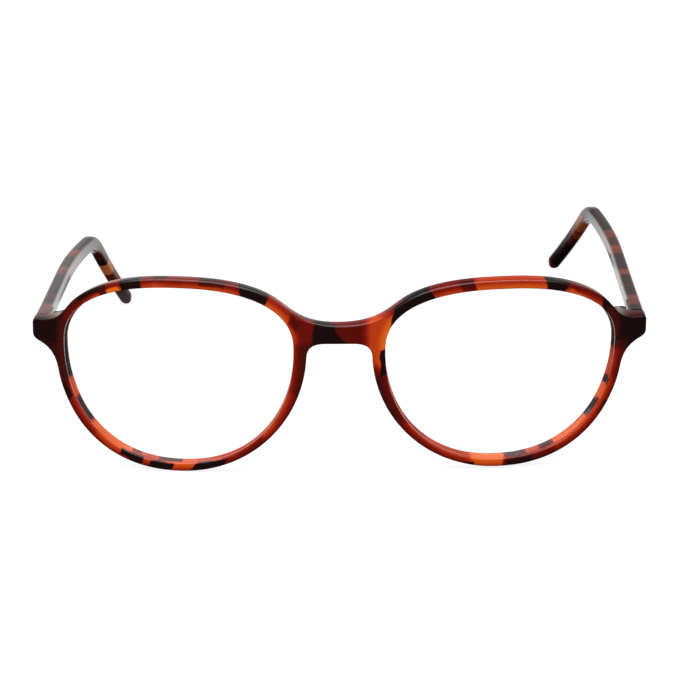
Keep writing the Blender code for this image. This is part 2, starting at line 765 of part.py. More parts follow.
def temple_hinge(side_name, side, pivot, finish):
    """The middle barrel on a leaf that is sunk flush into the temple's inner face."""
    hinge = barrel(f"temple_hinge_{side_name}", pivot, 1, finish)
    leaf_low = Vector((HINGE_FROM_TEMPLE, -HINGE_FROM_JOINT + 2 * CLEARANCE, -LEAF_HEIGHT / 2))
    leaf_high = Vector((HINGE_FROM_TEMPLE + LEAF_THICKNESS, leaf_low.y + LEAF_LENGTH, LEAF_HEIGHT / 2))
    join(hinge, object_from(f"leaf_{side_name}", mirrored_box(side, leaf_low, leaf_high), pivot))
    half = BARREL_HEIGHT / 2
    web = mirrored_box(
        side,
        Vector((0, -HINGE_WEB / 2, -half)),
        Vector((HINGE_FROM_TEMPLE + LEAF_THICKNESS / 2, HINGE_WEB / 2, half)),
    )
    join(hinge, object_from(f"temple_web_{side_name}", web, pivot))
    return hinge


def screw(side_name, pivot, finish):
    """A slotted screw, dropped in from above."""
    top = BARREL_STACK / 2 + BARREL_GAP
    shank = rod_shape(SCREW_RADIUS, -BARREL_STACK / 2, top)
    made = object_from(f"hinge_screw_{side_name}", shank, pivot, finish)
    head = rod_shape(SCREW_HEAD_RADIUS, top - BARREL_GAP / 4, top + SCREW_HEAD_HEIGHT)
    join(made, object_from(f"screw_head_{side_name}", head, pivot))
    head_top = top + SCREW_HEAD_HEIGHT
    slot_low = Vector((-SCREW_HEAD_RADIUS - OVERRUN, -SCREW_SLOT_WIDTH / 2, head_top - SCREW_SLOT_DEPTH))
    slot_high = Vector((SCREW_HEAD_RADIUS + OVERRUN, SCREW_SLOT_WIDTH / 2, head_top + OVERRUN))
    cut(made, object_from(f"screw_slot_{side_name}", box_shape(slot_low, slot_high), pivot))
    return made


def hinge_pockets(side_name, side, pivot, front, temple):
    """Room for the hinge's foot in the end piece and for its leaf in the temple."""
    half = BARREL_STACK / 2 + CLEARANCE
    foot_pocket = mirrored_box(
        side,
        Vector((-FOOT_WIDTH / 2 - CLEARANCE, -HINGE_FROM_JOINT - FOOT_DEPTH, -half)),
        Vector((FOOT_WIDTH / 2 + CLEARANCE, OVERRUN, half)),
    )
    cut(front, object_from(f"foot_pocket_{side_name}", foot_pocket, pivot))
    leaf_start = -HINGE_FROM_JOINT - OVERRUN
    leaf_end = -HINGE_FROM_JOINT + 3 * CLEARANCE + LEAF_LENGTH
    leaf_half = LEAF_HEIGHT / 2 + CLEARANCE
    leaf_pocket = mirrored_box(
        side,
        Vector((HINGE_FROM_TEMPLE - OVERRUN, leaf_start, -leaf_half)),
        Vector((HINGE_FROM_TEMPLE + LEAF_THICKNESS + CLEARANCE, leaf_end, leaf_half)),
    )
    cut(temple, object_from(f"leaf_pocket_{side_name}", leaf_pocket, pivot))


def screw_bore(side_name, pivot, hinges):
    bore = rod_shape(SCREW_RADIUS + SCREW_GAP, -BARREL_STACK / 2 - OVERRUN, BARREL_STACK / 2 + OVERRUN)
    cutter = object_from(f"screw_bore_{side_name}", bore, pivot)
    for hinge in hinges:
        cut(hinge, cutter)


def settle(rest, pieces):
    """Moves the whole frame until it stands at height zero with its box's middle over the origin."""
    bpy.context.view_layer.update()
    points = [piece.matrix_world @ vert.co for piece in pieces for vert in piece.data.vertices]
    depths = [p.y for p in points]
    rest.location = (0, -(min(depths) + max(depths)) / 2, -min(p.z for p in points))


def build():
    clear_scene()
    rest = empty("table_rest", (0, 0, 0))
    front_finish = acetate("tortoiseshell acetate front", (0.30, 0.05, 0.02))
    front = object_from("front", front_shape(), rest, front_finish)
    outermost = [front]
    for side_name, side in SIDES.items():
        half_empty = empty(f"{side_name}_half", (0, 0, TWIST_AXIS), rest, FRONT_LEAN + side * TWIST_HALF)
        pivot_place = (side * HINGE_U, HINGE_DEPTH, TEMPLE_LIFT - TWIST_AXIS)
        pivot = empty(f"{side_name}_pivot", pivot_place, half_empty)
        clear = material(f"demo lens {side_name}", (0.95, 0.97, 0.97), 0.03, 0, alpha=0.2)
        object_from(f"demo_lens_{side_name}", lens_shape(side), half_empty, clear)
        pad_finish = acetate(f"tortoiseshell acetate pad {side_name}", (0.28, 0.05, 0.02))
        object_from(f"nose_pad_{side_name}", pad_shape(side), half_empty, pad_finish)
        temple_finish = acetate(f"tortoiseshell acetate temple {side_name}", (0.26, 0.06, 0.03))
        temple = object_from(f"temple_{side_name}", temple_shape(side_name), pivot, temple_finish)
        outermost.append(temple)
        steel = material(f"core wire steel {side_name}", (0.55, 0.55, 0.55), 0.3, 1)
        object_from(f"core_wire_{side_name}", wire_shape(side_name), pivot, steel)
        silver = material(f"nickel silver hinge {side_name}", (0.62, 0.60, 0.57), 0.25, 1)
        hinges = [
            front_hinge(side_name, side, pivot, silver),
            temple_hinge(side_name, side, pivot, silver),
        ]
        screw_bore(side_name, pivot, hinges)
        screw(side_name, pivot, material(f"screw steel {side_name}", (0.6, 0.6, 0.6), 0.3, 1))
        hinge_pockets(side_name, side, pivot, front, temple)
    settle(rest, outermost)


build()
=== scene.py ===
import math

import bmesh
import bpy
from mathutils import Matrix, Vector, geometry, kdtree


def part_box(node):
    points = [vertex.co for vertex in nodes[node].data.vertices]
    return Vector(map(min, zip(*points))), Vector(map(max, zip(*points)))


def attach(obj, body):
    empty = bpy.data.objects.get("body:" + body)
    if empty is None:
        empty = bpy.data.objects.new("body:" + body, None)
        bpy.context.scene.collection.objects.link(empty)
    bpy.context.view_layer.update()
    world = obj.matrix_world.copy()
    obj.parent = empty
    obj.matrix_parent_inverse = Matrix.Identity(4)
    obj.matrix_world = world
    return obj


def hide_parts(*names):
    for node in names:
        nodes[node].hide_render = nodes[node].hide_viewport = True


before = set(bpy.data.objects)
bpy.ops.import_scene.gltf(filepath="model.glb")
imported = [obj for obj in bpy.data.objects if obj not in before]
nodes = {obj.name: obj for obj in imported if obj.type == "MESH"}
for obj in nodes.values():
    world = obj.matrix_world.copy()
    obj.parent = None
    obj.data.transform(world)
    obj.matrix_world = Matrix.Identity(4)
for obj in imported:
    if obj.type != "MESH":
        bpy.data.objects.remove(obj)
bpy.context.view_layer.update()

# %% [markdown]
# # A tortoiseshell eyeglass frame, dressed for its picture
#
# The frame is cut from sheets of cellulose acetate: one milled front, two nose pads bonded behind it, and
# two temples that are cut flat, shot with a core wire and bent by heat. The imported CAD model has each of
# these as a plain solid. This lesson replaces the acetate pieces with finer ones of the same shape, gives
# them the pattern of the sheets they were cut from, and keeps the metal hinges, screws and wires as they are.

MM = 0.001
SIDES = {"left": -1, "right": 1}
scene = bpy.context.scene

# %% [markdown]
# ## The camera
#
# The photograph was taken from in front and about 16 degrees above, from far enough away that the temples
# hardly shrink towards their tips. An orthographic camera would not shrink them at all, so this is a
# perspective one with a long lens, 650 mm from the middle of the frame. It comes first, so that every piece
# can be seen from the picture's viewpoint as soon as it is made.

# %% The camera
AIM = Vector((0.00013, -0.07263, 0.03074))
CAMERA_DISTANCE = 0.650
CAMERA_ELEVATION = math.radians(15.94)
CAMERA_ROLL = math.radians(0.075)
LENS_LENGTH, SENSOR_WIDTH = 157.8, 36

camera_data = bpy.data.cameras.new("studio camera")
camera_data.lens = LENS_LENGTH
camera_data.sensor_width = SENSOR_WIDTH
camera_data.clip_start = 10 * MM
camera = bpy.data.objects.new("studio_camera", camera_data)
scene.collection.objects.link(camera)
back = Vector((0, -math.cos(CAMERA_ELEVATION), math.sin(CAMERA_ELEVATION)))
camera.location = AIM + back * CAMERA_DISTANCE
camera.rotation_euler = (math.pi / 2 - CAMERA_ELEVATION, 0, 0)
camera.rotation_euler = (camera.rotation_euler.to_matrix() @ Matrix.Rotation(CAMERA_ROLL, 3, "Z")).to_euler()
scene.camera = camera
print("camera at", tuple(round(c, 4) for c in camera.location))

# %% [markdown]
# ## Small tools
#
# A colour is written as a hex code in sRGB, the way a colour picker shows it, and one function turns it
# into the linear values that a shader takes. A second one adds any node, with its settings and with what
# feeds its inputs, so that each tree below reads as a list of steps. A third starts a material with an
# empty tree.

# %% Small tools
def linear(code):
    """Turns an sRGB hex colour into the linear values that a shader takes."""
    channels = [int(code[i : i + 2], 16) / 255 for i in (1, 3, 5)]
    return [c / 12.92 if c <= 0.04045 else ((c + 0.055) / 1.055) ** 2.4 for c in channels] + [1.0]


def add_node(tree, kind, feeds=None, **settings):
    """Adds a node: settings are its own values, and feeds fills its inputs with sockets or values."""
    node = tree.nodes.new(kind)
    for name, value in settings.items():
        setattr(node, name, value)
    for key, value in (feeds or {}).items():
        if isinstance(value, bpy.types.NodeSocket):
            tree.links.new(value, node.inputs[key])
        else:
            node.inputs[key].default_value = value
    return node


def empty_material(name):
    """A new material, and its node tree with nothing in it yet."""
    made = bpy.data.materials.new(name)
    made.use_nodes = True
    made.node_tree.nodes.clear()
    return made, made.node_tree


print("mid grey #808080 is", round(linear("#808080")[0], 3), "in linear light")

# %% [markdown]
# ## The studio's light
#
# The photograph is a catalogue picture on pure white. A world is enough for that, because the Light Path
# node tells the kinds of rays apart, and each can get a light of its own. The camera sees white, also
# through the lenses. The surfaces get a plain soft light, a little brighter from the front, so that a colour
# renders about as it is written. Polished acetate mirrors what stands round it, and an all-white world would
# lay a pale veil over every face. So reflections see a dark studio with a strip of light on the ceiling and
# one bright card low behind the table, which gives the flat tops and the temples their grey sheen.

# %% The world's bands
scene.view_settings.view_transform = "Standard"
world = bpy.data.worlds.new("white studio")
scene.world = world
world.use_nodes = True
tree = world.node_tree
tree.nodes.clear()

CARD_MIDDLE = 0.03
way = add_node(tree, "ShaderNodeTexCoord").outputs["Generated"]
way = add_node(tree, "ShaderNodeSeparateXYZ", {0: way}).outputs
sideways = add_node(tree, "ShaderNodeMath", {0: way[0], 1: CARD_MIDDLE}, operation="SUBTRACT")
sideways = add_node(tree, "ShaderNodeMath", {0: sideways.outputs[0]}, operation="ABSOLUTE")
# Each band fades from one level to another between two places along an axis of the sky.
BANDS = (
    # name, axis, from here, to here, level at first, level at last, how it fades
    ("surface light", way[1], -1.0, 1.0, 1.15, 0.45, "LINEAR"),
    ("card width", sideways.outputs[0], 0.26, 0.54, 1.0, 0.0, "SMOOTHSTEP"),
    ("card top", way[2], -0.25, 0.46, 1.0, 0.0, "LINEAR"),
    ("card foot", way[2], -0.70, -0.45, 0.0, 1.0, "SMOOTHSTEP"),
    ("card depth", way[1], 0.20, 0.60, 0.0, 1.0, "SMOOTHSTEP"),
    ("room height", way[2], 0.0, 0.2, 0.0, 1.0, "LINEAR"),
    ("room", way[1], 0.2, -0.4, 0.03, 0.25, "SMOOTHSTEP"),
    ("ceiling strip", way[2], 0.80, 0.90, 0.0, 2.2, "SMOOTHSTEP"),
)
bands = {}
for name, axis, start, end, first, last, fade in BANDS:
    feeds = {"Value": axis, "From Min": start, "From Max": end, "To Min": first, "To Max": last}
    bands[name] = add_node(tree, "ShaderNodeMapRange", feeds, interpolation_type=fade).outputs[0]
print("bands of the world:", list(bands))

# %% The world put together
CARD_LEVEL = 0.95
card = bands["card width"]
for part in ("card top", "card foot", "card depth"):
    card = add_node(tree, "ShaderNodeMath", {0: card, 1: bands[part]}, operation="MULTIPLY").outputs[0]
room = add_node(tree, "ShaderNodeMath", {0: bands["room"], 1: bands["room height"]}, operation="MULTIPLY")
room = add_node(tree, "ShaderNodeMath", {0: room.outputs[0], 1: bands["ceiling strip"]}, operation="ADD")
mirrored = add_node(tree, "ShaderNodeMath", {0: card, 1: CARD_LEVEL, 2: room.outputs[0]},
                    operation="MULTIPLY_ADD")
path = add_node(tree, "ShaderNodeLightPath").outputs
clear_view = add_node(tree, "ShaderNodeMath", {0: path["Is Camera Ray"], 1: path["Is Transmission Ray"]},
                      operation="MAXIMUM")
level = add_node(tree, "ShaderNodeMix", {
    0: path["Is Glossy Ray"], 2: bands["surface light"], 3: mirrored.outputs[0],
}, data_type="FLOAT")
level = add_node(tree, "ShaderNodeMix", {0: clear_view.outputs[0], 2: level.outputs[0], 3: 1.0},
                 data_type="FLOAT")
sky = add_node(tree, "ShaderNodeBackground", {"Color": linear("#FFFFFF"), "Strength": level.outputs[0]})
add_node(tree, "ShaderNodeOutputWorld", {"Surface": sky.outputs[0]})
print("world:", len(tree.nodes), "nodes")

# %% [markdown]
# ## Two soft boxes
#
# A world alone lights a shape too evenly. A studio hangs a long soft box over the table and stands a wide
# one beside the camera, and two area lamps do the same. They stay weak, so that no colour washes out.

# %% Two soft boxes
TABLE_MIDDLE = Vector((0, 0, 0.02))
SOFT_BOXES = (
    # name, place, width and height in metres, power in watts
    ("overhead_strip", Vector((0, -0.06, 0.62)), 0.60, 0.16, 1.3),
    ("front_key", Vector((-0.25, -0.75, 0.60)), 0.70, 0.50, 2.0),
)
for name, place, width, height, power in SOFT_BOXES:
    lamp = bpy.data.lights.new(name, "AREA")
    lamp.shape = "RECTANGLE"
    lamp.size, lamp.size_y = width, height
    lamp.energy = power
    holder = bpy.data.objects.new(name, lamp)
    scene.collection.objects.link(holder)
    holder.location = place
    holder.rotation_euler = (TABLE_MIDDLE - place).to_track_quat("-Z", "Y").to_euler()
    print(name, "at", tuple(round(c, 2) for c in place), "with", power, "W")

# %% [markdown]
# ## The paper floor
#
# The frame stands on white seamless paper. Matt paper scatters light evenly, so a diffuse shader with faint
# fibres is enough, and it keeps the frame's soft shadow. A little light of its own, which only the camera
# sees, also through the lenses, brings it up to the picture's white and adds nothing to the object. It is
# hidden from reflections, because the studio's bright card shows there. The helper that turns a bmesh into
# an object comes first, and every later piece uses it too.

# %% The paper floor
def finished(name, shape, finish, smooth_angle=40):
    """Turns a bmesh into a smooth-shaded object with outward faces, its place in its mesh."""
    mesh = bpy.data.meshes.new(name)
    bmesh.ops.recalc_face_normals(shape, faces=shape.faces)
    shape.to_mesh(mesh)
    shape.free()
    mesh.shade_smooth()
    mesh.set_sharp_from_angle(angle=math.radians(smooth_angle))
    made = bpy.data.objects.new(name, mesh)
    scene.collection.objects.link(made)
    mesh.materials.append(finish)
    return made


FLOOR_HALF_WIDTH, FIBRES_ACROSS, OWN_LIGHT = 3.0, 900.0, 0.86

paper, tree = empty_material("white seamless paper")
# Real fibres are too fine to show, so their clumps are drawn 7 mm across.
fibre = add_node(tree, "ShaderNodeTexNoise", {"Scale": FIBRES_ACROSS, "Detail": 2.0})
tone = add_node(tree, "ShaderNodeMix", {0: fibre.outputs[0], 6: linear("#7C7C7C"), 7: linear("#828282")},
                data_type="RGBA")
matt = add_node(tree, "ShaderNodeBsdfDiffuse", {"Color": tone.outputs[2]})
path = add_node(tree, "ShaderNodeLightPath").outputs
lift = add_node(tree, "ShaderNodeMath", {0: path["Is Camera Ray"], 1: path["Is Transmission Ray"]},
                operation="MAXIMUM")
lift = add_node(tree, "ShaderNodeMath", {0: lift.outputs[0], 1: OWN_LIGHT}, operation="MULTIPLY")
own = add_node(tree, "ShaderNodeEmission", {"Color": linear("#FFFFFF"), "Strength": lift.outputs[0]})
both = add_node(tree, "ShaderNodeAddShader", {0: matt.outputs[0], 1: own.outputs[0]})
add_node(tree, "ShaderNodeOutputMaterial", {"Surface": both.outputs[0]})

floor_shape = bmesh.new()
bmesh.ops.create_grid(floor_shape, x_segments=1, y_segments=1, size=FLOOR_HALF_WIDTH)
floor = finished("paper_floor", floor_shape, paper)
floor.visible_glossy = False
print("floor:", floor.dimensions.x, "m wide")

# %% [markdown]
# ## The acetate sheet
#
# Tortoiseshell acetate is made by pressing chips of dark and bright acetate into a block, which is sliced
# into sheets. The pattern runs through the whole thickness, with crisp edges where a chip was cut, and it
# was there before the front was milled and bent. So each acetate piece carries its place in the flat sheet
# as an attribute named "sheet", in millimetres, and the pattern is laid out there.
#
# The acetate is clear and dyed, so what differs from place to place is how warm and bright the light comes
# through it. One number, the warmth, says that: 0 is near black, 0.3 maroon, 0.5 red and 1 bright orange.
# A chip is a small block with its own warmth. A node group lays one chip over what lies under it: it
# measures how far a point is inside the block, and mixes over a narrow edge.

# %% A group that lays one chip into the sheet
chip_group = bpy.data.node_groups.new("acetate chip", "ShaderNodeTree")
tree = chip_group
CHIP_INPUTS = {
    "Warmth": "Float",
    "Sheet": "Vector",
    "Middle": "Vector",
    "End normal": "Vector",
    "Side normal": "Vector",
    "Half size": "Vector",
    "Softness": "Float",
    "Chip warmth": "Float",
}
for label, kind in CHIP_INPUTS.items():
    chip_group.interface.new_socket(label, in_out="INPUT", socket_type=f"NodeSocket{kind}")
chip_group.interface.new_socket("Warmth", in_out="OUTPUT", socket_type="NodeSocketFloat")
given = add_node(tree, "NodeGroupInput").outputs
offset = add_node(tree, "ShaderNodeVectorMath", {0: given["Sheet"], 1: given["Middle"]},
                  operation="SUBTRACT").outputs[0]
# The point in the chip's own axes: along it, across it, and down through the sheet.
own_axes = {2: add_node(tree, "ShaderNodeSeparateXYZ", {0: offset}).outputs[2]}
for axis, normal in enumerate(("End normal", "Side normal")):
    reach = add_node(tree, "ShaderNodeVectorMath", {0: offset, 1: given[normal]}, operation="DOT_PRODUCT")
    own_axes[axis] = reach.outputs["Value"]
past = add_node(tree, "ShaderNodeCombineXYZ", own_axes)
past = add_node(tree, "ShaderNodeVectorMath", {0: past.outputs[0]}, operation="ABSOLUTE")
past = add_node(tree, "ShaderNodeVectorMath", {0: past.outputs[0], 1: given["Half size"]},
                operation="SUBTRACT")
past = add_node(tree, "ShaderNodeSeparateXYZ", {0: past.outputs[0]}).outputs
outside = add_node(tree, "ShaderNodeMath", {0: past[0], 1: past[1]}, operation="MAXIMUM")
outside = add_node(tree, "ShaderNodeMath", {0: outside.outputs[0], 1: past[2]}, operation="MAXIMUM")
inner = add_node(tree, "ShaderNodeMath", {0: given["Softness"], 1: -1.0}, operation="MULTIPLY")
mask = add_node(tree, "ShaderNodeMapRange", {
    "Value": outside.outputs[0], "From Min": inner.outputs[0], "From Max": given["Softness"], "To Min": 1.0,
    "To Max": 0.0,
}, interpolation_type="SMOOTHSTEP")
laid = add_node(tree, "ShaderNodeMix", {0: mask.outputs[0], 2: given["Warmth"], 3: given["Chip warmth"]},
                data_type="FLOAT")
add_node(tree, "NodeGroupOutput", {0: laid.outputs[0]})
print("chip group:", len(tree.nodes), "nodes")

# %% [markdown]
# ## The acetate finish
#
# Polished cellulose acetate has an IOR of about 1.48 and a soft gloss from tumbling in wood chips. Light
# that enters at the inner edge of a rim lights the acetate up from inside. Subsurface scattering or a real
# transmission could show that, but both blur the chips and neither exports well. So that light is painted
# into the colour: the warmth is looked up in a row of colours, and each piece says with an attribute named
# "glow" where painted light warms it and where painted shade darkens it.

# %% Colours and pattern sizes of the acetate
# The front's row is painted as lit through from inside, brighter than the same acetate on the temples.
WARMTH_STOPS = (
    (0.00, "#1B1110"),
    (0.12, "#26100F"),
    (0.28, "#46150F"),
    (0.42, "#68120B"),
    (0.56, "#8E1A0C"),
    (0.70, "#BE3813"),
    (0.84, "#E4561B"),
    (1.00, "#F4701E"),
)
# The temples are lit from outside only, so their colours are painted duller and browner: a painted-shade copy
# of the front's row.
SHADED_TEMPLE_STOPS = (
    (0.00, "#191110"),
    (0.15, "#2A1512"),
    (0.30, "#45180F"),
    (0.50, "#702814"),
    (0.70, "#9C4828"),
    (1.00, "#E48048"),
)
# Dye clouds, the waves of a chip's edge, and the unevenness left by tumbling, in millimetres.
CLOUD_SIZE, WAVE_SIZE, TUMBLE_SIZE = 6.25, 20 / 7, 1.25
CLOUD_WARMTH = 0.07
# The painted glow spares what is cooler than the first warmth, and is full from the second one on.
GLOW_FROM, GLOW_FULL, GLOW_STRENGTH = 0.10, 0.45, 0.30
print("colours:", len(WARMTH_STOPS), "for the front,", len(SHADED_TEMPLE_STOPS), "for the temples")


# %% The acetate finish
def acetate_finish(name, chips, plain_warmth, colours=WARMTH_STOPS):
    """Tumble-polished tortoiseshell acetate, with its chips at their places in the flat sheet."""
    finish, tree = empty_material(name)
    sheet = add_node(tree, "ShaderNodeAttribute", attribute_name="sheet").outputs["Vector"]
    # The glow attribute carries the painted light and painted shade of each piece.
    glow = add_node(tree, "ShaderNodeAttribute", attribute_name="glow").outputs["Fac"]
    # Chip edges wander by a fraction of a millimetre where the pieces flowed together in the press.
    wander = add_node(tree, "ShaderNodeTexNoise", {"Vector": sheet, "Scale": 1 / WAVE_SIZE, "Detail": 1.0})
    wander = add_node(tree, "ShaderNodeVectorMath", {0: wander.outputs["Color"], 1: (0.5, 0.5, 0.5)},
                      operation="SUBTRACT")
    wander = add_node(tree, "ShaderNodeVectorMath", {0: wander.outputs[0], 1: (1.0, 1.0, 0.0)},
                      operation="MULTIPLY")
    place = add_node(tree, "ShaderNodeVectorMath", {0: sheet, 1: wander.outputs[0]}, operation="ADD")
    # Dye clouds some 6 mm across in the clear parts.
    clouds = add_node(tree, "ShaderNodeTexNoise", {
        "Vector": sheet, "Scale": 1 / CLOUD_SIZE, "Detail": 3.0, "Roughness": 0.55, "Distortion": 0.6,
    })
    warmth = add_node(tree, "ShaderNodeMapRange", {
        "Value": clouds.outputs[0], "From Min": 0.3, "From Max": 0.7, "To Min": plain_warmth - CLOUD_WARMTH,
        "To Max": plain_warmth + CLOUD_WARMTH,
    }).outputs[0]
    for laid in chips:
        feeds = {"Warmth": warmth, "Sheet": place.outputs[0], **laid}
        warmth = add_node(tree, "ShaderNodeGroup", feeds, node_tree=chip_group).outputs[0]
    # The painted glow warms what is clear near the openings, paints shade into it farther out, and leaves the
    # near-black chips alone.
    clear = add_node(tree, "ShaderNodeMapRange", {
        "Value": warmth, "From Min": GLOW_FROM, "From Max": GLOW_FULL, "To Min": 0.0, "To Max": GLOW_STRENGTH,
    })
    swing = add_node(tree, "ShaderNodeMath", {0: glow, 1: 0.5}, operation="SUBTRACT")
    total = add_node(tree, "ShaderNodeMath", {0: swing.outputs[0], 1: clear.outputs[0], 2: warmth},
                     operation="MULTIPLY_ADD")
    ramp = add_node(tree, "ShaderNodeValToRGB", {"Fac": total.outputs[0]})
    stops = ramp.color_ramp.elements
    stops[0].color = linear(colours[0][1])
    stops[1].color = linear(colours[-1][1])
    for position, code in colours[1:-1]:
        stops.new(position).color = linear(code)
    # Tumbling leaves a very faint unevenness, about a millimetre wide.
    polish = add_node(tree, "ShaderNodeTexNoise", {"Vector": sheet, "Scale": 1 / TUMBLE_SIZE, "Detail": 2.0})
    gloss = add_node(tree, "ShaderNodeMapRange", {"Value": polish.outputs[0], "To Min": 0.07, "To Max": 0.13})
    waves = add_node(tree, "ShaderNodeBump", {
        "Height": polish.outputs[0], "Strength": 0.04, "Distance": 0.1 * MM,
    })
    shader = add_node(tree, "ShaderNodeBsdfPrincipled", {
        "Base Color": ramp.outputs[0], "Roughness": gloss.outputs[0], "IOR": 1.48, "Specular IOR Level": 0.5,
        "Normal": waves.outputs[0],
    })
    add_node(tree, "ShaderNodeOutputMaterial", {"Surface": shader.outputs[0]})
    return finish


print("clouds, edge waves and tumbling in mm:", CLOUD_SIZE, round(WAVE_SIZE, 2), TUMBLE_SIZE)

# %% [markdown]
# ## Where the chips lie in the front
#
# Each chip was read off the photograph. Its ends are given across the front (from the middle of the
# bridge) and up (from the rims' lowest line). Levels count from the front face backwards, so a chip can
# show on the face, or only on the wall of an opening behind it. Wide soft chips come first and set the
# mood of a whole stretch; narrow crisp ones follow. An image texture would be quicker to paint, but it
# would not run through the thickness as the real pattern does.

# %% A chip
# Levels of a chip on the face only, on the wall behind it, or through the whole sheet; and a crisp edge.
FACE, WALL, WHOLE = (-1, 0.4), (0.3, 5), (-1, 5)
CRISP = 0.18


def chip(warmth, start, end, width, levels=WHOLE, skew=0, softness=CRISP):
    """A chip from start to end in the sheet, in millimetres; skew turns its ends, in degrees."""
    start, end = Vector(start), Vector(end)
    run = end - start
    middle = (start + end) / 2
    heading = math.atan2(run.y, run.x)
    end_turn = heading + math.radians(skew)
    return {
        "Middle": (middle.x, middle.y, sum(levels) / 2),
        "End normal": (math.cos(end_turn), math.sin(end_turn), 0),
        "Side normal": (-math.sin(heading), math.cos(heading), 0),
        "Half size": (run.length / 2 * math.cos(math.radians(skew)), width / 2, (levels[1] - levels[0]) / 2),
        "Softness": softness,
        "Chip warmth": warmth,
    }


print("a chip:", chip(0.5, (0, 0), (4, 0), 2))

# %% Chips of the left rim's end piece and upper half
# Levels of a chip that shows on a top edge, but not on the face.
TOP = (0.7, 5)

front_chips = [
    # Left end piece and the rim beside the temple.
    chip(0.22, (-70, 31), (-57.5, 31), 14, softness=1.6),
    chip(0.26, (-61, 34), (-61, 17), 4, softness=1.2),
    chip(0.06, (-70, 31.5), (-62.5, 31.5), 7, softness=0.8),
    chip(0.44, (-70, 33.5), (-60.5, 33.5), 1.2, (0.4, 5), 0, 0.3),
    chip(0.42, (-60, 18), (-54, 8), 5, FACE, softness=2.0),
    chip(0.68, (-50.5, 6), (-47, 3), 5, FACE, softness=2.0),
    chip(0.12, (-61.6, 18.4), (-59.6, 15.4), 2.0, FACE, 20, 0.3),
    # Left rim, from the temple over the top to the bridge.
    chip(0.36, (-61, 34), (-51.2, 41.7), 4.4, softness=0.5),
    chip(0.08, (-57.6, 38.4), (-51.2, 42.3), 1.6, softness=0.3),
    chip(0.58, (-58.4, 34.6), (-51.8, 39.6), 1.6, (-1, 1.2), softness=0.4),
    chip(0.30, (-52.6, 39.6), (-50.9, 40.6), 2.2, FACE, 0, 0.2),
    chip(0.60, (-50.9, 41), (-47.9, 42), 6, WHOLE, 8),
    chip(0.94, (-50.7, 39.8), (-48.2, 40.8), 1.8, (-1, 1.5), 8),
    chip(0.78, (-51.8, 42.4), (-48.0, 43.3), 1.8, TOP, 8, 0.3),
    chip(0.03, (-48.1, 42.2), (-43.7, 42.9), 6, WHOLE, 8),
    chip(0.48, (-43.0, 43.8), (-38.2, 43.8), 1.3, WHOLE, 0, 0.3),
    chip(0.68, (-43.3, 44.2), (-28.6, 44.2), 2.0, TOP, 0, 0.3),
    chip(0.10, (-40.8, 44), (-38.0, 44), 1.8, (1.2, 5), 0, 0.3),
    chip(0.10, (-30.8, 43.8), (-26.4, 43.2), 1.8, (1.8, 5), 0, 0.3),
    chip(0.36, (-30.4, 43.4), (-24.8, 42.6), 1.6, (-1, 1.5), -20, 0.3),
    chip(0.04, (-21.8, 41.8), (-18.5, 40.3), 6, WHOLE, 38, 0.2),
    chip(0.04, (-20.9, 41.4), (-16.0, 39.0), 6, WHOLE, 9),
    chip(0.72, (-16.0, 39.0), (-10.9, 35.3), 6, WHOLE, 9, 0.4),
    chip(0.60, (-9.6, 34.5), (-5.4, 30.5), 9, WHOLE, 0, 0.8),
    chip(0.42, (-10.8, 34.9), (-9.0, 33.2), 1.5, FACE, 15, 0.6),
]
print("chips in the front so far:", len(front_chips))

# %% Chips of the bridge and the left rim's lower half
front_chips += [
    # Bridge.
    chip(0.55, (-1.0, 31.5), (7.4, 31.5), 9, WHOLE, 0, 0.4),
    chip(0.95, (6.0, 30.5), (12.4, 30.5), 12, WHOLE, 0, 1.9),
    chip(0.04, (-2.6, 31.5), (-0.2, 31.5), 9, (-1, 1.0), 41, 0.3),
    chip(0.04, (-5.8, 31.5), (-1.2, 31.5), 9, WHOLE, -8, 0.35),
    chip(0.62, (-2.4, 33.8), (5, 33.8), 3, (1.0, 5), 0, 0.5),
    # Left nasal side and lower rim, back round to the temple.
    chip(0.36, (-7.4, 29), (-8.8, 18), 5, FACE, softness=1.5),
    chip(0.56, (-9.5, 17), (-15, 8), 5, FACE, softness=1.5),
    chip(0.34, (-16.5, 7.5), (-22.2, 3.6), 3.2, FACE, softness=1.0),
    chip(0.44, (-22, 4), (-25.6, 2.3), 4, FACE, softness=0.8),
    chip(0.72, (-37.4, 1.2), (-32.2, 1.0), 4, WHOLE, -30, 0.3),
    chip(0.03, (-32.6, 0.9), (-25.4, 2.0), 1.9, (-1, 0.5), -45),
    chip(0.04, (-42.0, 1.4), (-36.9, 0.9), 1.7, (-1, 0.5), -27),
    chip(0.24, (-40.3, 2.2), (-35.0, 1.9), 2, (1.3, 5), 20, 0.25),
    chip(0.60, (-43.8, 2.6), (-41.8, 1.6), 4, FACE, -15, 0.3),
    chip(0.03, (-48.3, 4.4), (-43.6, 1.9), 2.1, (-1, 0.5), 12),
    chip(0.34, (-46.8, 3.9), (-44.4, 3.2), 1.2, (0.9, 5), 20, 0.4),
    chip(0.80, (-54.9, 9.8), (-46.4, 3.6), 2.4, WALL, softness=0.4),
    chip(0.17, (-58.4, 15.6), (-55.3, 10.4), 2.4, (0.9, 5), 15, 0.4),
    chip(0.70, (-60.4, 19.6), (-58.5, 15.8), 2.4, WALL, 0, 0.2),
    chip(0.14, (-61.4, 27), (-60.1, 20), 2.4, WALL, 0, 0.4),
]
print("chips in the front so far:", len(front_chips))

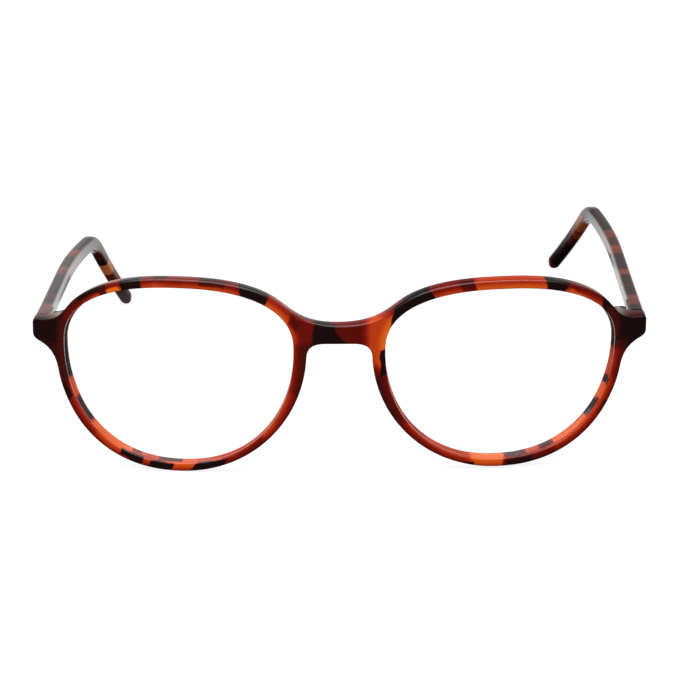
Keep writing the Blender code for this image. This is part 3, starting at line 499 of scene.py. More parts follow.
# %% Chips of the right rim's upper half
front_chips += [
    # Right brow and the top of the right rim.
    chip(0.03, (11.3, 34.2), (17, 38.5), 10, WHOLE, -48),
    chip(0.03, (14, 36.8), (20.2, 41.0), 10, WHOLE, 5),
    chip(0.64, (10.2, 37.2), (13.8, 39.6), 3.5, (0.9, 5), 0, 0.4),
    chip(0.36, (26.4, 43), (29.5, 43), 3.6, (-1, 1.6), 24, 0.25),
    chip(0.77, (29.5, 43), (46.5, 42.6), 6, WHOLE, 24, 0.2),
    chip(0.86, (30.2, 44.1), (45.6, 43.7), 2.0, TOP, 0, 0.3),
    chip(0.03, (45.2, 42), (48.5, 41.2), 6, WHOLE, 13),
    chip(0.03, (47, 42.1), (50.0, 41.5), 6, WHOLE, -22),
    chip(0.54, (50.4, 42.4), (57.6, 38.0), 2.0, WHOLE, -14, 0.3),
    chip(0.74, (50.2, 40.5), (57.4, 35.2), 1.5, (-1, 1.2), 0, 0.3),
]
print("chips in the front so far:", len(front_chips))

# %% Chips of the right rim's end piece and lower half
front_chips += [
    # Right end piece and the rim beside the temple.
    chip(0.03, (57.9, 33), (70, 33), 14, WHOLE, 0, 0.6),
    chip(0.42, (60.5, 33.5), (70, 33.5), 1.2, (0.4, 5), 0, 0.3),
    chip(0.30, (60.2, 36), (60.6, 29), 2.6, FACE, 0, 0.8),
    chip(0.38, (61.6, 28), (61.4, 19), 4, FACE, softness=1.2),
    chip(0.50, (61.2, 19), (59.2, 13), 4, FACE, softness=1.2),
    chip(0.20, (60.9, 33), (61, 27), 2, WALL, softness=0.5),
    chip(0.14, (60.0, 18.8), (59.3, 17.4), 2, WALL, 0, 0.2),
    chip(0.78, (59.3, 17.4), (57.9, 14), 2.4, WALL, 0, 0.3),
    chip(0.14, (57.5, 13.6), (55.5, 10.4), 2.4, (1.0, 5), 15, 0.4),
    chip(0.76, (55.2, 10.1), (47.8, 4.2), 2.6, WALL, softness=0.4),
    chip(0.25, (47.9, 4.4), (45.0, 3.2), 2, (1.0, 5), 15, 0.35),
    chip(0.20, (41.8, 2.4), (37.0, 1.9), 2, (0.9, 5), 15, 0.3),
    chip(0.12, (59.4, 13.6), (57.6, 10.8), 1.2, FACE, 0, 0.3),
    chip(0.50, (59, 12), (49, 3.6), 4.5, FACE, softness=1.2),
    chip(0.34, (48.2, 3.0), (36.4, 0.6), 2.6, FACE, 0, 0.8),
    chip(0.10, (43.0, 1.5), (36.6, 0.7), 1.5, FACE, 0, 0.6),
    chip(0.77, (36.2, 1.6), (29.6, 1.4), 5, FACE, 0, 0.4),
    chip(0.95, (36.6, 2.0), (29.4, 1.8), 3, WALL, 0, 0.7),
    chip(0.16, (29.8, 0.8), (27.9, 0.8), 1.3, FACE, 0),
    # Right nasal side and lower rim.
    chip(0.04, (10.1, 28.6), (10.3, 22.4), 2.4, (-1, 1.2), 25, 0.3),
    chip(0.22, (9.6, 22), (13.6, 11), 5, FACE, softness=1.6),
    chip(0.40, (14.5, 11.5), (22, 4), 5, FACE, softness=2.0),
    chip(0.50, (22, 3.5), (28, 1.2), 4, FACE, softness=1.0),
]
print("chips in the front so far:", len(front_chips))

# %% [markdown]
# ## One finish for each quarter of the front
#
# The renderer can follow only some forty chips in one material. So the front gets one material for each
# quarter, each with the chips that reach into it, and each face takes the material of its quarter.

# %% One finish for each quarter of the front
QUARTER_LINE = 22
QUARTERS = ("left upper", "left lower", "right upper", "right lower")
FRONT_WARMTH = 0.60


def quarter_of(u, v):
    return ("left" if u < 0 else "right") + (" lower" if v < QUARTER_LINE else " upper")


def reaches(laid, quarter):
    """True where any part of a chip may lie in a quarter of the front."""
    reach = math.hypot(laid["Half size"][0], laid["Half size"][1]) + 2 * laid["Softness"] + 1
    u, v = laid["Middle"][:2]
    return any(quarter_of(u + a, v + b) == quarter for a in (-reach, reach) for b in (-reach, reach))


front_finishes = {}
for quarter in QUARTERS:
    near = [laid for laid in front_chips if reaches(laid, quarter)]
    name = f"tortoiseshell acetate, tumbled, {quarter} front"
    front_finishes[quarter] = acetate_finish(name, near, FRONT_WARMTH)
    print(quarter, "chips:", len(near))


def paint_by_quarter(made, marks):
    """Gives each face of the front or of a pad the finish of its quarter of the sheet."""
    made.data.materials.clear()
    for quarter in QUARTERS:
        made.data.materials.append(front_finishes[quarter])
    for face in made.data.polygons:
        places = [marks[i][0] for i in face.vertices]
        middle = [sum(place[axis] for place in places) / len(places) for axis in (0, 1)]
        face.material_index = QUARTERS.index(quarter_of(*middle))

# %% [markdown]
# ## The front's outline
#
# The front is a flat plate before it is bent: a superellipse for each lens opening, a slightly larger one
# for each rim, and curves that leave the rims tangentially for the bridge and the end pieces. The CAD mesh
# could be smoothed instead, but its facets would stay in the highlights. So the CAD model's own sizes are
# drawn again with finer steps. The functions give points of the flat plate in metres.

# %% Sizes of the front
HALF_OPENING = 0.02545
OPENING_RISE, OPENING_DROP = 0.0137, 0.0261
OPENING_UPPER_POWER, OPENING_LOWER_POWER = 2.36, 2.21
RIM_TOP, RIM_BOTTOM, RIM_TEMPLE, RIM_BROW, RIM_NOSE = 0.0020, 0.0019, 0.0017, 0.0022, 0.0029
RIM_UPPER_POWER, RIM_NOSE_POWER = 2.42, 2.05
LENS_CENTRE = 0.01005 + HALF_OPENING
WIDEST_LINE = RIM_BOTTOM + OPENING_DROP
BRIDGE_TOP = WIDEST_LINE + 0.00575
BRIDGE_UNDERSIDE = BRIDGE_TOP - 0.00425
TWIST_AXIS = (BRIDGE_TOP + BRIDGE_UNDERSIDE) / 2
BRIDGE_CORNER = 0.0042
ENDPIECE_TOP = WIDEST_LINE + 0.0049
ENDPIECE_TIP_FOOT = ENDPIECE_TOP - 0.0030
ENDPIECE_CORNER, ENDPIECE_LEDGE = 0.0008, 0.0022
HEEL_WIDTH, HEEL_DROP, HEEL_SLOPE = 0.0017, 0.0021, math.radians(28)
HALF_WIDTH = LENS_CENTRE + HALF_OPENING + RIM_TEMPLE + 0.00515
FRONT_THICKNESS = 0.0036
FACE_CURVE_RADIUS, FACE_FLAT_HALF = 0.170, 0.012
JOINT_DEPTH = (HALF_WIDTH - FACE_FLAT_HALF) ** 2 / (2 * FACE_CURVE_RADIUS) + FRONT_THICKNESS + 0.00034
BLOCK_WIDTH, BLOCK_RAMP = 0.0056, 0.0010
BLOCK_EDGE = HALF_WIDTH - BLOCK_WIDTH
FRONT_LEAN, TWIST_HALF, TWIST_REACH = math.radians(1.85), math.radians(2.6), 0.009
TABLE_REST = Vector((0, -0.07263016, 0.00016905))
BROW_ANGLE, NOSE_ANGLE = math.radians(131), math.radians(184)
UPPER_ANGLE, LOWER_ANGLE = math.radians(37), math.radians(-11)
print("front width in mm:", round(2 * HALF_WIDTH / MM, 1))

# %% Openings and rims
def superellipse(width, height, power, angle):
    across, up = math.cos(angle), math.sin(angle)
    x = width * math.copysign(abs(across) ** (2 / power), across)
    return Vector((x, height * math.copysign(abs(up) ** (2 / power), up)))


def opening_point(angle):
    """A point of the right lens opening's edge on the flat plate; angle 0 is the temple side."""
    if math.sin(angle) >= 0:
        point = superellipse(HALF_OPENING, OPENING_RISE, OPENING_UPPER_POWER, angle)
    else:
        point = superellipse(HALF_OPENING, OPENING_DROP, OPENING_LOWER_POWER, angle)
    return point + Vector((LENS_CENTRE, WIDEST_LINE))


def rim_point(angle):
    """The point of the rim's outer edge that belongs to the same angle."""
    outer = math.cos(angle) >= 0
    if math.sin(angle) >= 0:
        side = RIM_TEMPLE if outer else RIM_BROW
        point = superellipse(HALF_OPENING + side, OPENING_RISE + RIM_TOP, RIM_UPPER_POWER, angle)
    else:
        side = RIM_TEMPLE if outer else RIM_NOSE
        power = OPENING_LOWER_POWER if outer else RIM_NOSE_POWER
        point = superellipse(HALF_OPENING + side, OPENING_DROP + RIM_BOTTOM, power, angle)
    return point + Vector((LENS_CENTRE, WIDEST_LINE))


OPENING_STEPS = 220
openings = []
for side in SIDES.values():
    loop = [opening_point(math.tau * i / OPENING_STEPS) for i in range(OPENING_STEPS)]
    openings.append([Vector((side * p.x, p.y)) for p in loop])
print("points round an opening:", len(openings[0]))

# %% The outer edge
def rim_heading(angle):
    nudge = math.radians(0.2)
    return (rim_point(angle - nudge) - rim_point(angle + nudge)).normalized()


def rim_arc(start, end, steps):
    return [rim_point(start + (end - start) * i / steps) for i in range(steps + 1)]


def fair_curve(start, start_heading, end, end_heading, pulls, steps):
    """A smooth curve that leaves start and reaches end along the given headings."""
    reach = (end - start).length
    first = start + start_heading * reach * pulls[0]
    second = end - end_heading * reach * pulls[1]
    flat = [Vector((p.x, p.y, 0)) for p in (start, first, second, end)]
    return [p.to_2d() for p in geometry.interpolate_bezier(*flat, steps + 1)]


STRAIGHT_STEP, SHORTEST_STEP = 0.8 * MM, 0.05 * MM


def half_outline():
    """The front's outer edge on the right half, from the bridge's top to its underside."""
    right, left, down, up = Vector((1, 0)), Vector((-1, 0)), Vector((0, -1)), Vector((0, 1))
    upper, lower = rim_point(UPPER_ANGLE), rim_point(LOWER_ANGLE)
    corner_start = Vector((HALF_WIDTH - ENDPIECE_CORNER, ENDPIECE_TOP))
    corner_end = Vector((HALF_WIDTH, ENDPIECE_TOP - ENDPIECE_CORNER))
    ledge = Vector((HALF_WIDTH - ENDPIECE_LEDGE, ENDPIECE_TOP))
    tip_foot = Vector((HALF_WIDTH, ENDPIECE_TIP_FOOT))
    heel = Vector((HALF_WIDTH - HEEL_WIDTH, ENDPIECE_TIP_FOOT - HEEL_DROP))
    heel_heading = Vector((-math.cos(HEEL_SLOPE), -math.sin(HEEL_SLOPE)))
    nose = rim_point(NOSE_ANGLE)
    underside = Vector((nose.x - BRIDGE_CORNER, BRIDGE_UNDERSIDE))
    brow = rim_point(BROW_ANGLE)
    runs = [
        fair_curve(Vector((0, BRIDGE_TOP)), right, brow, rim_heading(BROW_ANGLE), (0.56, 0.34), 24),
        rim_arc(BROW_ANGLE, UPPER_ANGLE, 64),
        fair_curve(upper, rim_heading(UPPER_ANGLE), ledge, right, (0.40, 0.48), 22),
        fair_curve(corner_start, right, corner_end, down, (0.45, 0.45), 8),
        fair_curve(tip_foot, down, heel, heel_heading, (0.45, 0.45), 12),
        fair_curve(heel, heel_heading, lower, rim_heading(LOWER_ANGLE), (0.42, 0.34), 18),
        rim_arc(LOWER_ANGLE, NOSE_ANGLE - math.tau, 130),
        fair_curve(nose, up, underside, left, (0.50, 0.50), 18),
        [Vector((0, BRIDGE_UNDERSIDE))],
    ]
    points = [runs[0][0]]
    for point in (p for run in runs for p in run):
        gap = (point - points[-1]).length
        # Straight stretches get points in between, so that they can bend with the plate.
        extra = int(gap / STRAIGHT_STEP)
        points += [points[-1].lerp(point, (i + 1) / (extra + 1)) for i in range(extra)]
        if gap > SHORTEST_STEP:
            points.append(point)
    return points


right_half = half_outline()
outline = right_half + [Vector((-p.x, p.y)) for p in reversed(right_half[1:-1])]
print("points round the outside:", len(outline))

# %% [markdown]
# ## Bending the front
#
# The flat plate is heated and pressed to a gentle curve, with the end pieces left thick so that the temples
# meet them on a flat. A bend modifier would curve the plate, but not keep the end pieces square. The frame
# in the photograph is also a little twisted, so each half leans by its own angle. So one function carries
# any point of the sheet to its place in the world, and every piece of the front uses it.

# %% Bending the front
def smoothstep(low, high, value):
    """0 up to low, 1 from high on, and a smooth rise between them."""
    share = min(max((value - low) / (high - low), 0), 1)
    return share * share * (3 - 2 * share)


def on_curve(point, level):
    """A point of the flat plate at a level behind its face, bent onto the face curve."""
    past_flat = max(abs(point.x) - FACE_FLAT_HALF, 0)
    slope = math.copysign(past_flat / FACE_CURVE_RADIUS, point.x)
    stretch = math.hypot(1, slope)
    face_depth = past_flat**2 / (2 * FACE_CURVE_RADIUS)
    square = smoothstep(BLOCK_EDGE - BLOCK_WIDTH / 2, BLOCK_EDGE + BLOCK_WIDTH / 2, abs(point.x))
    depth = face_depth + level / stretch
    if level > FRONT_THICKNESS / 2:
        raised = smoothstep(BLOCK_EDGE - BLOCK_RAMP, BLOCK_EDGE, abs(point.x))
        depth += raised * (JOINT_DEPTH - face_depth - FRONT_THICKNESS / stretch)
    return Vector((point.x - (1 - square) * level * slope / stretch, depth, point.y - TWIST_AXIS))


def leant(place, lean):
    """Leans a bent point about the bridge's axis and stands it on the table."""
    return Matrix.Rotation(lean, 3, "X") @ place + Vector((0, 0, TWIST_AXIS)) + TABLE_REST


def in_world(point, level):
    share = smoothstep(-TWIST_REACH, TWIST_REACH, point.x)
    return leant(on_curve(point, level), FRONT_LEAN + TWIST_HALF * (2 * share - 1))


print("end piece depth in mm:", round(JOINT_DEPTH / MM, 2))

# %% [markdown]
# ## Marks for the pattern and the painted light
#
# A vertex can carry any named value to its material. Each vertex of an acetate piece keeps its place in the
# flat sheet, where the pattern lies, and its glow: painted light near the lens openings, and painted shade
# farther from them and round their back edges. The glow could come from an ambient occlusion node, but the
# export would lose that, and the distance to the nearest lens opening says the same.

# %% Marks for the pattern and the painted light
# Painted light fades out from an opening's edge between the first two distances; round its back edge the
# acetate gets painted shade.
GLOW_START, GLOW_REACH = 0.1 * MM, 2.1 * MM
BACK_EDGE_LEVEL, BACK_EDGE_WIDTH, BACK_EDGE_PAINTED_SHADE = FRONT_THICKNESS - 0.35 * MM, 0.33 * MM, -0.9

opening_edges = kdtree.KDTree(2 * OPENING_STEPS)
for i, point in enumerate(openings[0] + openings[1]):
    opening_edges.insert((point.x, point.y, 0), i)
opening_edges.balance()


def painted_glow_and_shade(point, level):
    """Painted light: 1 at a lens opening's edge, fading to 0 at about a rim's width; painted shade round its
    back edge.
    """
    distance = opening_edges.find((point.x, point.y, 0))[2]
    if level > BACK_EDGE_LEVEL and distance < BACK_EDGE_WIDTH:
        return BACK_EDGE_PAINTED_SHADE
    return 1 - smoothstep(GLOW_START, GLOW_REACH, distance)


def add_sheet_marks(made, marks):
    """Writes each vertex's place in the sheet (mm) and its painted glow (0 to 1, below 0 where it paints
    shade) as attributes.
    """
    made.data.attributes.new("sheet", "FLOAT_VECTOR", "POINT")
    made.data.attributes.new("glow", "FLOAT", "POINT")
    made.data.attributes["sheet"].data.foreach_set("vector", [c for place, _ in marks for c in place])
    made.data.attributes["glow"].data.foreach_set("value", [glow for _, glow in marks])


print("glow at an opening's edge:", round(painted_glow_and_shade(openings[0][0], 0), 2))

# %% [markdown]
# ## The milled front
#
# The real front is milled from one sheet and tumbled until its edges are round. A boolean or a bevel would
# do, but rings give full control: closed rings of points step round the outer edge and through each
# opening, with the groove for the lens, and the two faces are filled with a mesh of even triangles, which
# bends smoothly with the plate.

# %% Rings and rounded edges
def signed_area(loop):
    return sum(a.x * b.y - b.x * a.y for a, b in zip(loop, loop[1:] + loop[:1])) / 2


def grown(loop, distance):
    """The loop moved outwards along its own normals."""
    turn = math.copysign(1, signed_area(loop))
    moved = []
    for i, point in enumerate(loop):
        run = loop[(i + 1) % len(loop)] - loop[i - 1]
        moved.append(point + Vector((run.y, -run.x)).normalized() * turn * distance)
    return moved


def rounded_edge(radius, steps, margin):
    """Level and inset pairs from just inside a face round its edge to the side wall."""
    turns = [math.pi / 2 * i / steps for i in range(steps + 1)]
    pairs = [(radius * (1 - math.cos(t)), radius * (1 - math.sin(t))) for t in turns]
    return [(0, radius + margin)] + pairs


def both_edges(edge, middle=()):
    """The edge of one face, then the middle of the wall, then the edge of the other face."""
    return edge + list(middle) + [(FRONT_THICKNESS - level, inset) for level, inset in reversed(edge)]


def ring_faces(shape, rings, closed=False):
    """Quads between neighbouring rings of vertices, and a face over each end if closed."""
    for lower, upper in zip(rings, rings[1:]):
        for i in range(len(lower)):
            j = (i + 1) % len(lower)
            shape.faces.new((lower[i], lower[j], upper[j], upper[i]))
    if closed:
        shape.faces.new(rings[0])
        shape.faces.new(rings[-1])


outer_edge = rounded_edge(0.45 * MM, 6, 0.10 * MM)
opening_edge = rounded_edge(0.30 * MM, 4, 0.08 * MM)
# The lens groove: levels behind the front face, and how deep the wall is cut there, in millimetres.
GROOVE = ((1.0, 0), (1.05, 0.05), (1.8, 0.8), (2.55, 0.05), (2.6, 0), (3.2, 0))
groove = [(level * MM, depth * MM) for level, depth in GROOVE]
print("rings: outside", len(both_edges(outer_edge)), "in an opening", len(both_edges(opening_edge, groove)))

# %% The front's edges and openings
# The tumbling rounds the end pieces' edges less than half as much.
ENDPIECE_SHARPENING = 0.55

shape = bmesh.new()
marks = []


def ring_of(places):
    """One ring of the front's mesh, from points of the flat plate and their levels, with its marks."""
    made = []
    for point, level in places:
        made.append(shape.verts.new(in_world(point, level)))
        marks.append(((point.x / MM, point.y / MM, level / MM), painted_glow_and_shade(point, level)))
    return made


def crisped(level, inset):
    """The places of a ring of the outer edge, with its rounding smaller on the end pieces."""
    places = []
    for point, inner in zip(outline, grown(outline, -inset)):
        share = 1 - ENDPIECE_SHARPENING * smoothstep(BLOCK_EDGE - 2 * MM, BLOCK_EDGE, abs(point.x))
        depth = min(level, FRONT_THICKNESS - level) * share
        depth = depth if level < FRONT_THICKNESS / 2 else FRONT_THICKNESS - depth
        places.append((point.lerp(inner, share), depth))
    return places


outer_rings = [ring_of(crisped(level, inset)) for level, inset in both_edges(outer_edge)]
ring_faces(shape, outer_rings)
opening_rings = []
opening_steps = both_edges(opening_edge, groove)
for loop in openings:
    group = [ring_of((p, level) for p in grown(loop, inset)) for level, inset in opening_steps]
    ring_faces(shape, group)
    opening_rings.append(group)
print("points on the walls:", len(shape.verts))

# %% Even points across the front's faces
GRID, COLUMNS, ROWS = 0.7 * MM, 100, 66
RING_CLEARANCE, OPENING_CLEARANCE = 0.45 * MM, 0.75 * MM

face_outline = [point for point, _ in crisped(*outer_edge[0])]
corners, edges = [], []
for loop in [face_outline] + [grown(loop, opening_edge[0][1]) for loop in openings]:
    edges += [(len(corners) + i, len(corners) + (i + 1) % len(loop)) for i in range(len(loop))]
    corners += loop
rim_tree = kdtree.KDTree(len(corners))
for i, point in enumerate(corners):
    rim_tree.insert((point.x, point.y, 0), i)
rim_tree.balance()


def on_plate(point):
    """True where a point of the flat plate lies in neither opening."""
    u, v = abs(point.x) - LENS_CENTRE, point.y - WIDEST_LINE
    if v >= 0:
        height, power = OPENING_RISE, OPENING_UPPER_POWER
    else:
        height, power = OPENING_DROP, OPENING_LOWER_POWER
    return abs(u / HALF_OPENING) ** power + abs(v / height) ** power > 1


extra = []
for column in range(-COLUMNS, COLUMNS + 1):
    for row in range(ROWS):
        point = Vector((column * GRID, row * GRID + (column % 2) * GRID / 2))
        from_ring = rim_tree.find((point.x, point.y, 0))[2]
        from_opening = opening_edges.find((point.x, point.y, 0))[2]
        if on_plate(point) and from_ring > RING_CLEARANCE and from_opening > OPENING_CLEARANCE:
            extra.append(point)
print("points on a face:", len(corners), "round its edges and", len(extra), "offered across it")

# %% The front's faces
SAME_POINT = 1e-7


def on_one_opening(triangle):
    """True where a triangle's corners all lie on one opening: as that is convex, it is a hole's triangle."""
    homes = {(i - len(face_outline)) // OPENING_STEPS if i < len(corners) else -1 for i in triangle}
    return len(homes) == 1 and min(homes) >= 0


filled = geometry.delaunay_2d_cdt(corners + extra, edges, [], 1, SAME_POINT)
triangles = []
for triangle in filled[2]:
    middle = (filled[0][triangle[0]] + filled[0][triangle[1]] + filled[0][triangle[2]]) / 3
    if on_plate(middle) and not on_one_opening(triangle):
        triangles.append(triangle)
used = sorted({i for triangle in triangles for i in triangle if i >= len(corners)})
for end, level in ((0, 0), (-1, FRONT_THICKNESS)):
    verts = dict(enumerate(outer_rings[end] + opening_rings[0][end] + opening_rings[1][end]))
    verts.update(zip(used, ring_of((filled[0][i], level) for i in used)))
    for triangle in triangles:
        shape.faces.new([verts[i] for i in triangle])
print("triangles on each face:", len(triangles))

# %% The finished front
front = finished("acetate_front", shape, front_finishes["left upper"], 50)
add_sheet_marks(front, marks)
paint_by_quarter(front, marks)
print("front:", len(front.data.vertices), "points, box", [round(c / MM, 1) for c in front.dimensions])
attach(front, "front_assembly")
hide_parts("front")

# %% [markdown]
# ## The nose pads
#
# Each pad is a small block of the same acetate, bonded behind the rim beside the nose and filed to a smooth
# dome. A sculpted or subdivided block would do. Oval rings keep to the rim instead: they follow its curve,
# shrink along a rounded profile and close at a pole.

# %% The nose pads
PAD_MIDDLE_ANGLE, PAD_HALF_SPAN = math.radians(207), math.radians(19)
PAD_HEIGHT, PAD_FLARE, PAD_DRAFT, PAD_INSET = 0.0042, 0.0010, 0.0007, 0.0002
# The pads get a little painted light, a glow a shade above the neutral 0.5.
PAD_SINK, PAD_FOOT, PAD_POLE, PAD_PAINTED_GLOW = 0.0004, 0.0003, 0.02, 0.6
PAD_AROUND, PAD_RINGS, PAD_POWER = 72, 26, 2.5

for side_name, side in SIDES.items():
    shape = bmesh.new()
    rings, marks = [], []
    for step in range(PAD_RINGS + 1):
        turn = math.pi / 2 * step / PAD_RINGS
        depth_share = math.sin(turn) ** (2 / PAD_POWER) if step else 0.0
        size_share = max(math.cos(turn), PAD_POLE) ** (2 / PAD_POWER)
        level = FRONT_THICKNESS - PAD_SINK if step == 0 else FRONT_THICKNESS + PAD_FOOT
        ring = []
        for i in range(PAD_AROUND):
            around = math.tau * i / PAD_AROUND
            angle = PAD_MIDDLE_ANGLE + PAD_HALF_SPAN * size_share * math.cos(around)
            nose_side, lens_side = rim_point(angle), opening_point(angle)
            across = (nose_side - lens_side).normalized()
            lens_edge = PAD_INSET + PAD_DRAFT * depth_share
            nose_edge = (nose_side - lens_side).length - PAD_INSET - PAD_FLARE * depth_share**2
            half = (nose_edge - lens_edge) / 2
            point = lens_side + across * (lens_edge + half * (1 + size_share * math.sin(around)))
            point.x *= side
            depth = PAD_HEIGHT * depth_share
            bent = on_curve(point, level) + Vector((0, depth, 0))
            ring.append(shape.verts.new(leant(bent, FRONT_LEAN + side * TWIST_HALF)))
            marks.append(((point.x / MM, point.y / MM, (level + depth) / MM), PAD_PAINTED_GLOW))
        rings.append(ring)
    ring_faces(shape, rings, closed=True)
    pad = finished(f"acetate_pad_{side_name}", shape, front_finishes[f"{side_name} lower"], 60)
    add_sheet_marks(pad, marks)
    paint_by_quarter(pad, marks)
    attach(pad, "front_assembly")
    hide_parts(f"nose_pad_{side_name}")
    print(pad.name, "box", [round(c / MM, 1) for c in pad.dimensions])

# %% [markdown]
# ## The demo lenses
#
# A new frame comes with thin plastic lenses that only hold its shape, moulded from clear acrylic (PMMA). A
# glass shader would bend and darken what stands behind them, which such a thin sheet hardly does. So the
# material is polished plastic that is nearly all transparent, with just enough of it left for a faint veil.

# %% Clear plastic
LENS_VEIL, HAZE_PER_METRE = 0.022, 120.0

clear_plastic, tree = empty_material("clear PMMA sheet, demo lens")
where = add_node(tree, "ShaderNodeTexCoord").outputs["Object"]
# Moulding leaves a haze in clouds of about 8 mm, which only softens the gloss.
haze = add_node(tree, "ShaderNodeTexNoise", {"Vector": where, "Scale": HAZE_PER_METRE, "Detail": 2.0})
haze = add_node(tree, "ShaderNodeMapRange", {"Value": haze.outputs[0], "To Min": 0.00, "To Max": 0.03})
shader = add_node(tree, "ShaderNodeBsdfPrincipled", {
    "Base Color": linear("#F4F6F6"), "Roughness": haze.outputs[0], "IOR": 1.49, "Alpha": LENS_VEIL,
})
add_node(tree, "ShaderNodeOutputMaterial", {"Surface": shader.outputs[0]})
print("lens material:", len(tree.nodes), "nodes")

# %% The demo lenses
LENS_LEVEL, LENS_HALF, LENS_RIDGE, LENS_GAP = 0.0018, 0.00075, 0.00045, 0.00035
LENS_RINGS, LENS_MIDDLE_DROP = 14, 0.006

centre = Vector((LENS_CENTRE, WIDEST_LINE - LENS_MIDDLE_DROP))
shares = [i / LENS_RINGS for i in range(1, LENS_RINGS + 1)]
# Rings from the middle of the front face out to the ridge and back to the middle of the rear face.
stages = [(LENS_LEVEL - LENS_HALF, -LENS_GAP, share) for share in shares]
stages += [(LENS_LEVEL, LENS_RIDGE, 1.0)]
stages += [(LENS_LEVEL + LENS_HALF, -LENS_GAP, share) for share in reversed(shares)]
for side_name, side in SIDES.items():
    shape = bmesh.new()
    loop = [opening_point(math.tau * i / OPENING_STEPS) for i in range(OPENING_STEPS)]
    rings = []
    for level, growth, share in stages:
        ring = []
        for point in grown(loop, growth):
            point = centre.lerp(point, share)
            point.x *= side
            ring.append(shape.verts.new(leant(on_curve(point, level), FRONT_LEAN + side * TWIST_HALF)))
        rings.append(ring)
    ring_faces(shape, rings, closed=True)
    lens = finished(f"clear_lens_{side_name}", shape, clear_plastic, 30)
    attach(lens, "front_assembly")
    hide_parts(f"demo_lens_{side_name}")
    print(lens.name, "box", [round(c / MM, 1) for c in lens.dimensions])

# %% [markdown]
# ## A temple as a rule
#
# A temple is one flat strip, and its bent shape follows a rule: straight from the hinge, then bowed inwards
# along a wide arc, then turned down behind the ear along a tight one. A curve drawn by hand would do for
# one temple, but Geometry Nodes can build any such temple from those numbers, and this frame has two that
# differ a little. A line of points keeps its heading at each station, and adding the steps up gives the
# middle line. A round profile is swept along it, and each point of the sweep is then moved out to a rounded
# rectangle whose thickness and height change along the temple.

# %% The temple tree and its inputs
temple_tree = bpy.data.node_groups.new("bent temple", "GeometryNodeTree")
tree = temple_tree
TEMPLE_INPUTS = {
    "Geometry": "Geometry",
    "Length": "Float",
    "To bow": "Float",
    "Bow radius": "Float",
    "To bend": "Float",
    "Bend radius": "Float",
    "Bend angle": "Float",
    "Slope": "Float",
    "Butt thickness": "Float",
    "Thickness": "Float",
    "Butt height": "Float",
    "Height": "Float",
    "Tip height": "Float",
    "Butt taper": "Float",
    "End round": "Float",
    "Edge round": "Float",
    "Tip edge round": "Float",
    "Stations": "Int",
    "Corner steps": "Int",
    "Start": "Vector",
    "Acetate": "Material",
}
for label, kind in TEMPLE_INPUTS.items():
    temple_tree.interface.new_socket(label, in_out="INPUT", socket_type=f"NodeSocket{kind}")
temple_tree.interface.new_socket("Geometry", in_out="OUTPUT", socket_type="NodeSocketGeometry")
# Every quantity goes by its name: first the inputs, then what each step below works out.
found = dict(zip(TEMPLE_INPUTS, add_node(tree, "NodeGroupInput").outputs))
found["index"] = add_node(tree, "GeometryNodeInputIndex").outputs[0]
print("temple tree inputs:", len(TEMPLE_INPUTS))

# %% Length and heading at each station
# Stations crowd a little towards the tip.
CROWDING = 1.35
steps = [("last", "SUBTRACT", "Stations", 1.0), ("next index", "ADD", "index", 1.0)]
for length, number in (("length", "index"), ("next length", "next index")):
    steps += [
        ("share left", "DIVIDE", number, "last"),
        ("share left", "SUBTRACT", 1.0, "share left"),
        ("share left", "MAXIMUM", "share left", 0.0),
        ("share left", "POWER", "share left", CROWDING),
        ("share gone", "SUBTRACT", 1.0, "share left"),
        (length, "MULTIPLY", "share gone", "Length"),
    ]
steps += [
    ("past bend", "SUBTRACT", "length", "To bend"),
    ("bend length", "MULTIPLY", "Bend radius", "Bend angle"),
    ("bent share", "DIVIDE", "past bend", "bend length"),
    ("bent share", "MINIMUM", "bent share", 1.0),
    ("bent share", "MAXIMUM", "bent share", 0.0),
    ("fall", "MULTIPLY_ADD", "bent share", "Bend angle", "Slope"),
    ("past bow", "SUBTRACT", "length", "To bow"),
    ("past bow", "MAXIMUM", "past bow", 0.0),
    ("turn in", "DIVIDE", "past bow", "Bow radius"),
    ("level share", "COSINE", "fall"),
    ("sideways", "SINE", "turn in"),
    ("sideways", "MULTIPLY", "sideways", -1.0),
    ("sideways", "MULTIPLY", "sideways", "level share"),
    ("backwards", "COSINE", "turn in"),
    ("backwards", "MULTIPLY", "backwards", "level share"),
    ("upwards", "SINE", "fall"),
    ("upwards", "MULTIPLY", "upwards", -1.0),
    ("stride", "SUBTRACT", "next length", "length"),
]
for name, operation, *inputs in steps:
    feeds = {i: found.get(given, given) for i, given in enumerate(inputs)}
    found[name] = add_node(tree, "ShaderNodeMath", feeds, operation=operation).outputs[0]
print("steps of the walk:", len(steps))

# %% The middle line
heading = {0: found["sideways"], 1: found["backwards"], 2: found["upwards"]}
found["heading"] = add_node(tree, "ShaderNodeCombineXYZ", heading).outputs[0]
stride = add_node(tree, "ShaderNodeVectorMath", {0: found["heading"], "Scale": found["stride"]},
                  operation="SCALE")
walked = add_node(tree, "GeometryNodeAccumulateField", {"Value": stride.outputs[0]}, data_type="FLOAT_VECTOR")
found["middle"] = add_node(tree, "ShaderNodeVectorMath", {0: walked.outputs["Trailing"], 1: found["Start"]},
                           operation="ADD").outputs[0]
line = add_node(tree, "GeometryNodeMeshLine", {"Count": found["Stations"], "Offset": (0, 0, 0)})
for name, kind in (("length", "FLOAT"), ("heading", "FLOAT_VECTOR"), ("middle", "FLOAT_VECTOR")):
    feeds = {"Geometry": line.outputs[0], "Name": name, "Value": found[name]}
    line = add_node(tree, "GeometryNodeStoreNamedAttribute", feeds, data_type=kind, domain="POINT")
line = add_node(tree, "GeometryNodeSetPosition", {"Geometry": line.outputs[0], "Position": found["middle"]})
line = add_node(tree, "GeometryNodeMeshToCurve", {"Mesh": line.outputs[0]})
print("nodes up to the middle line:", len(tree.nodes))

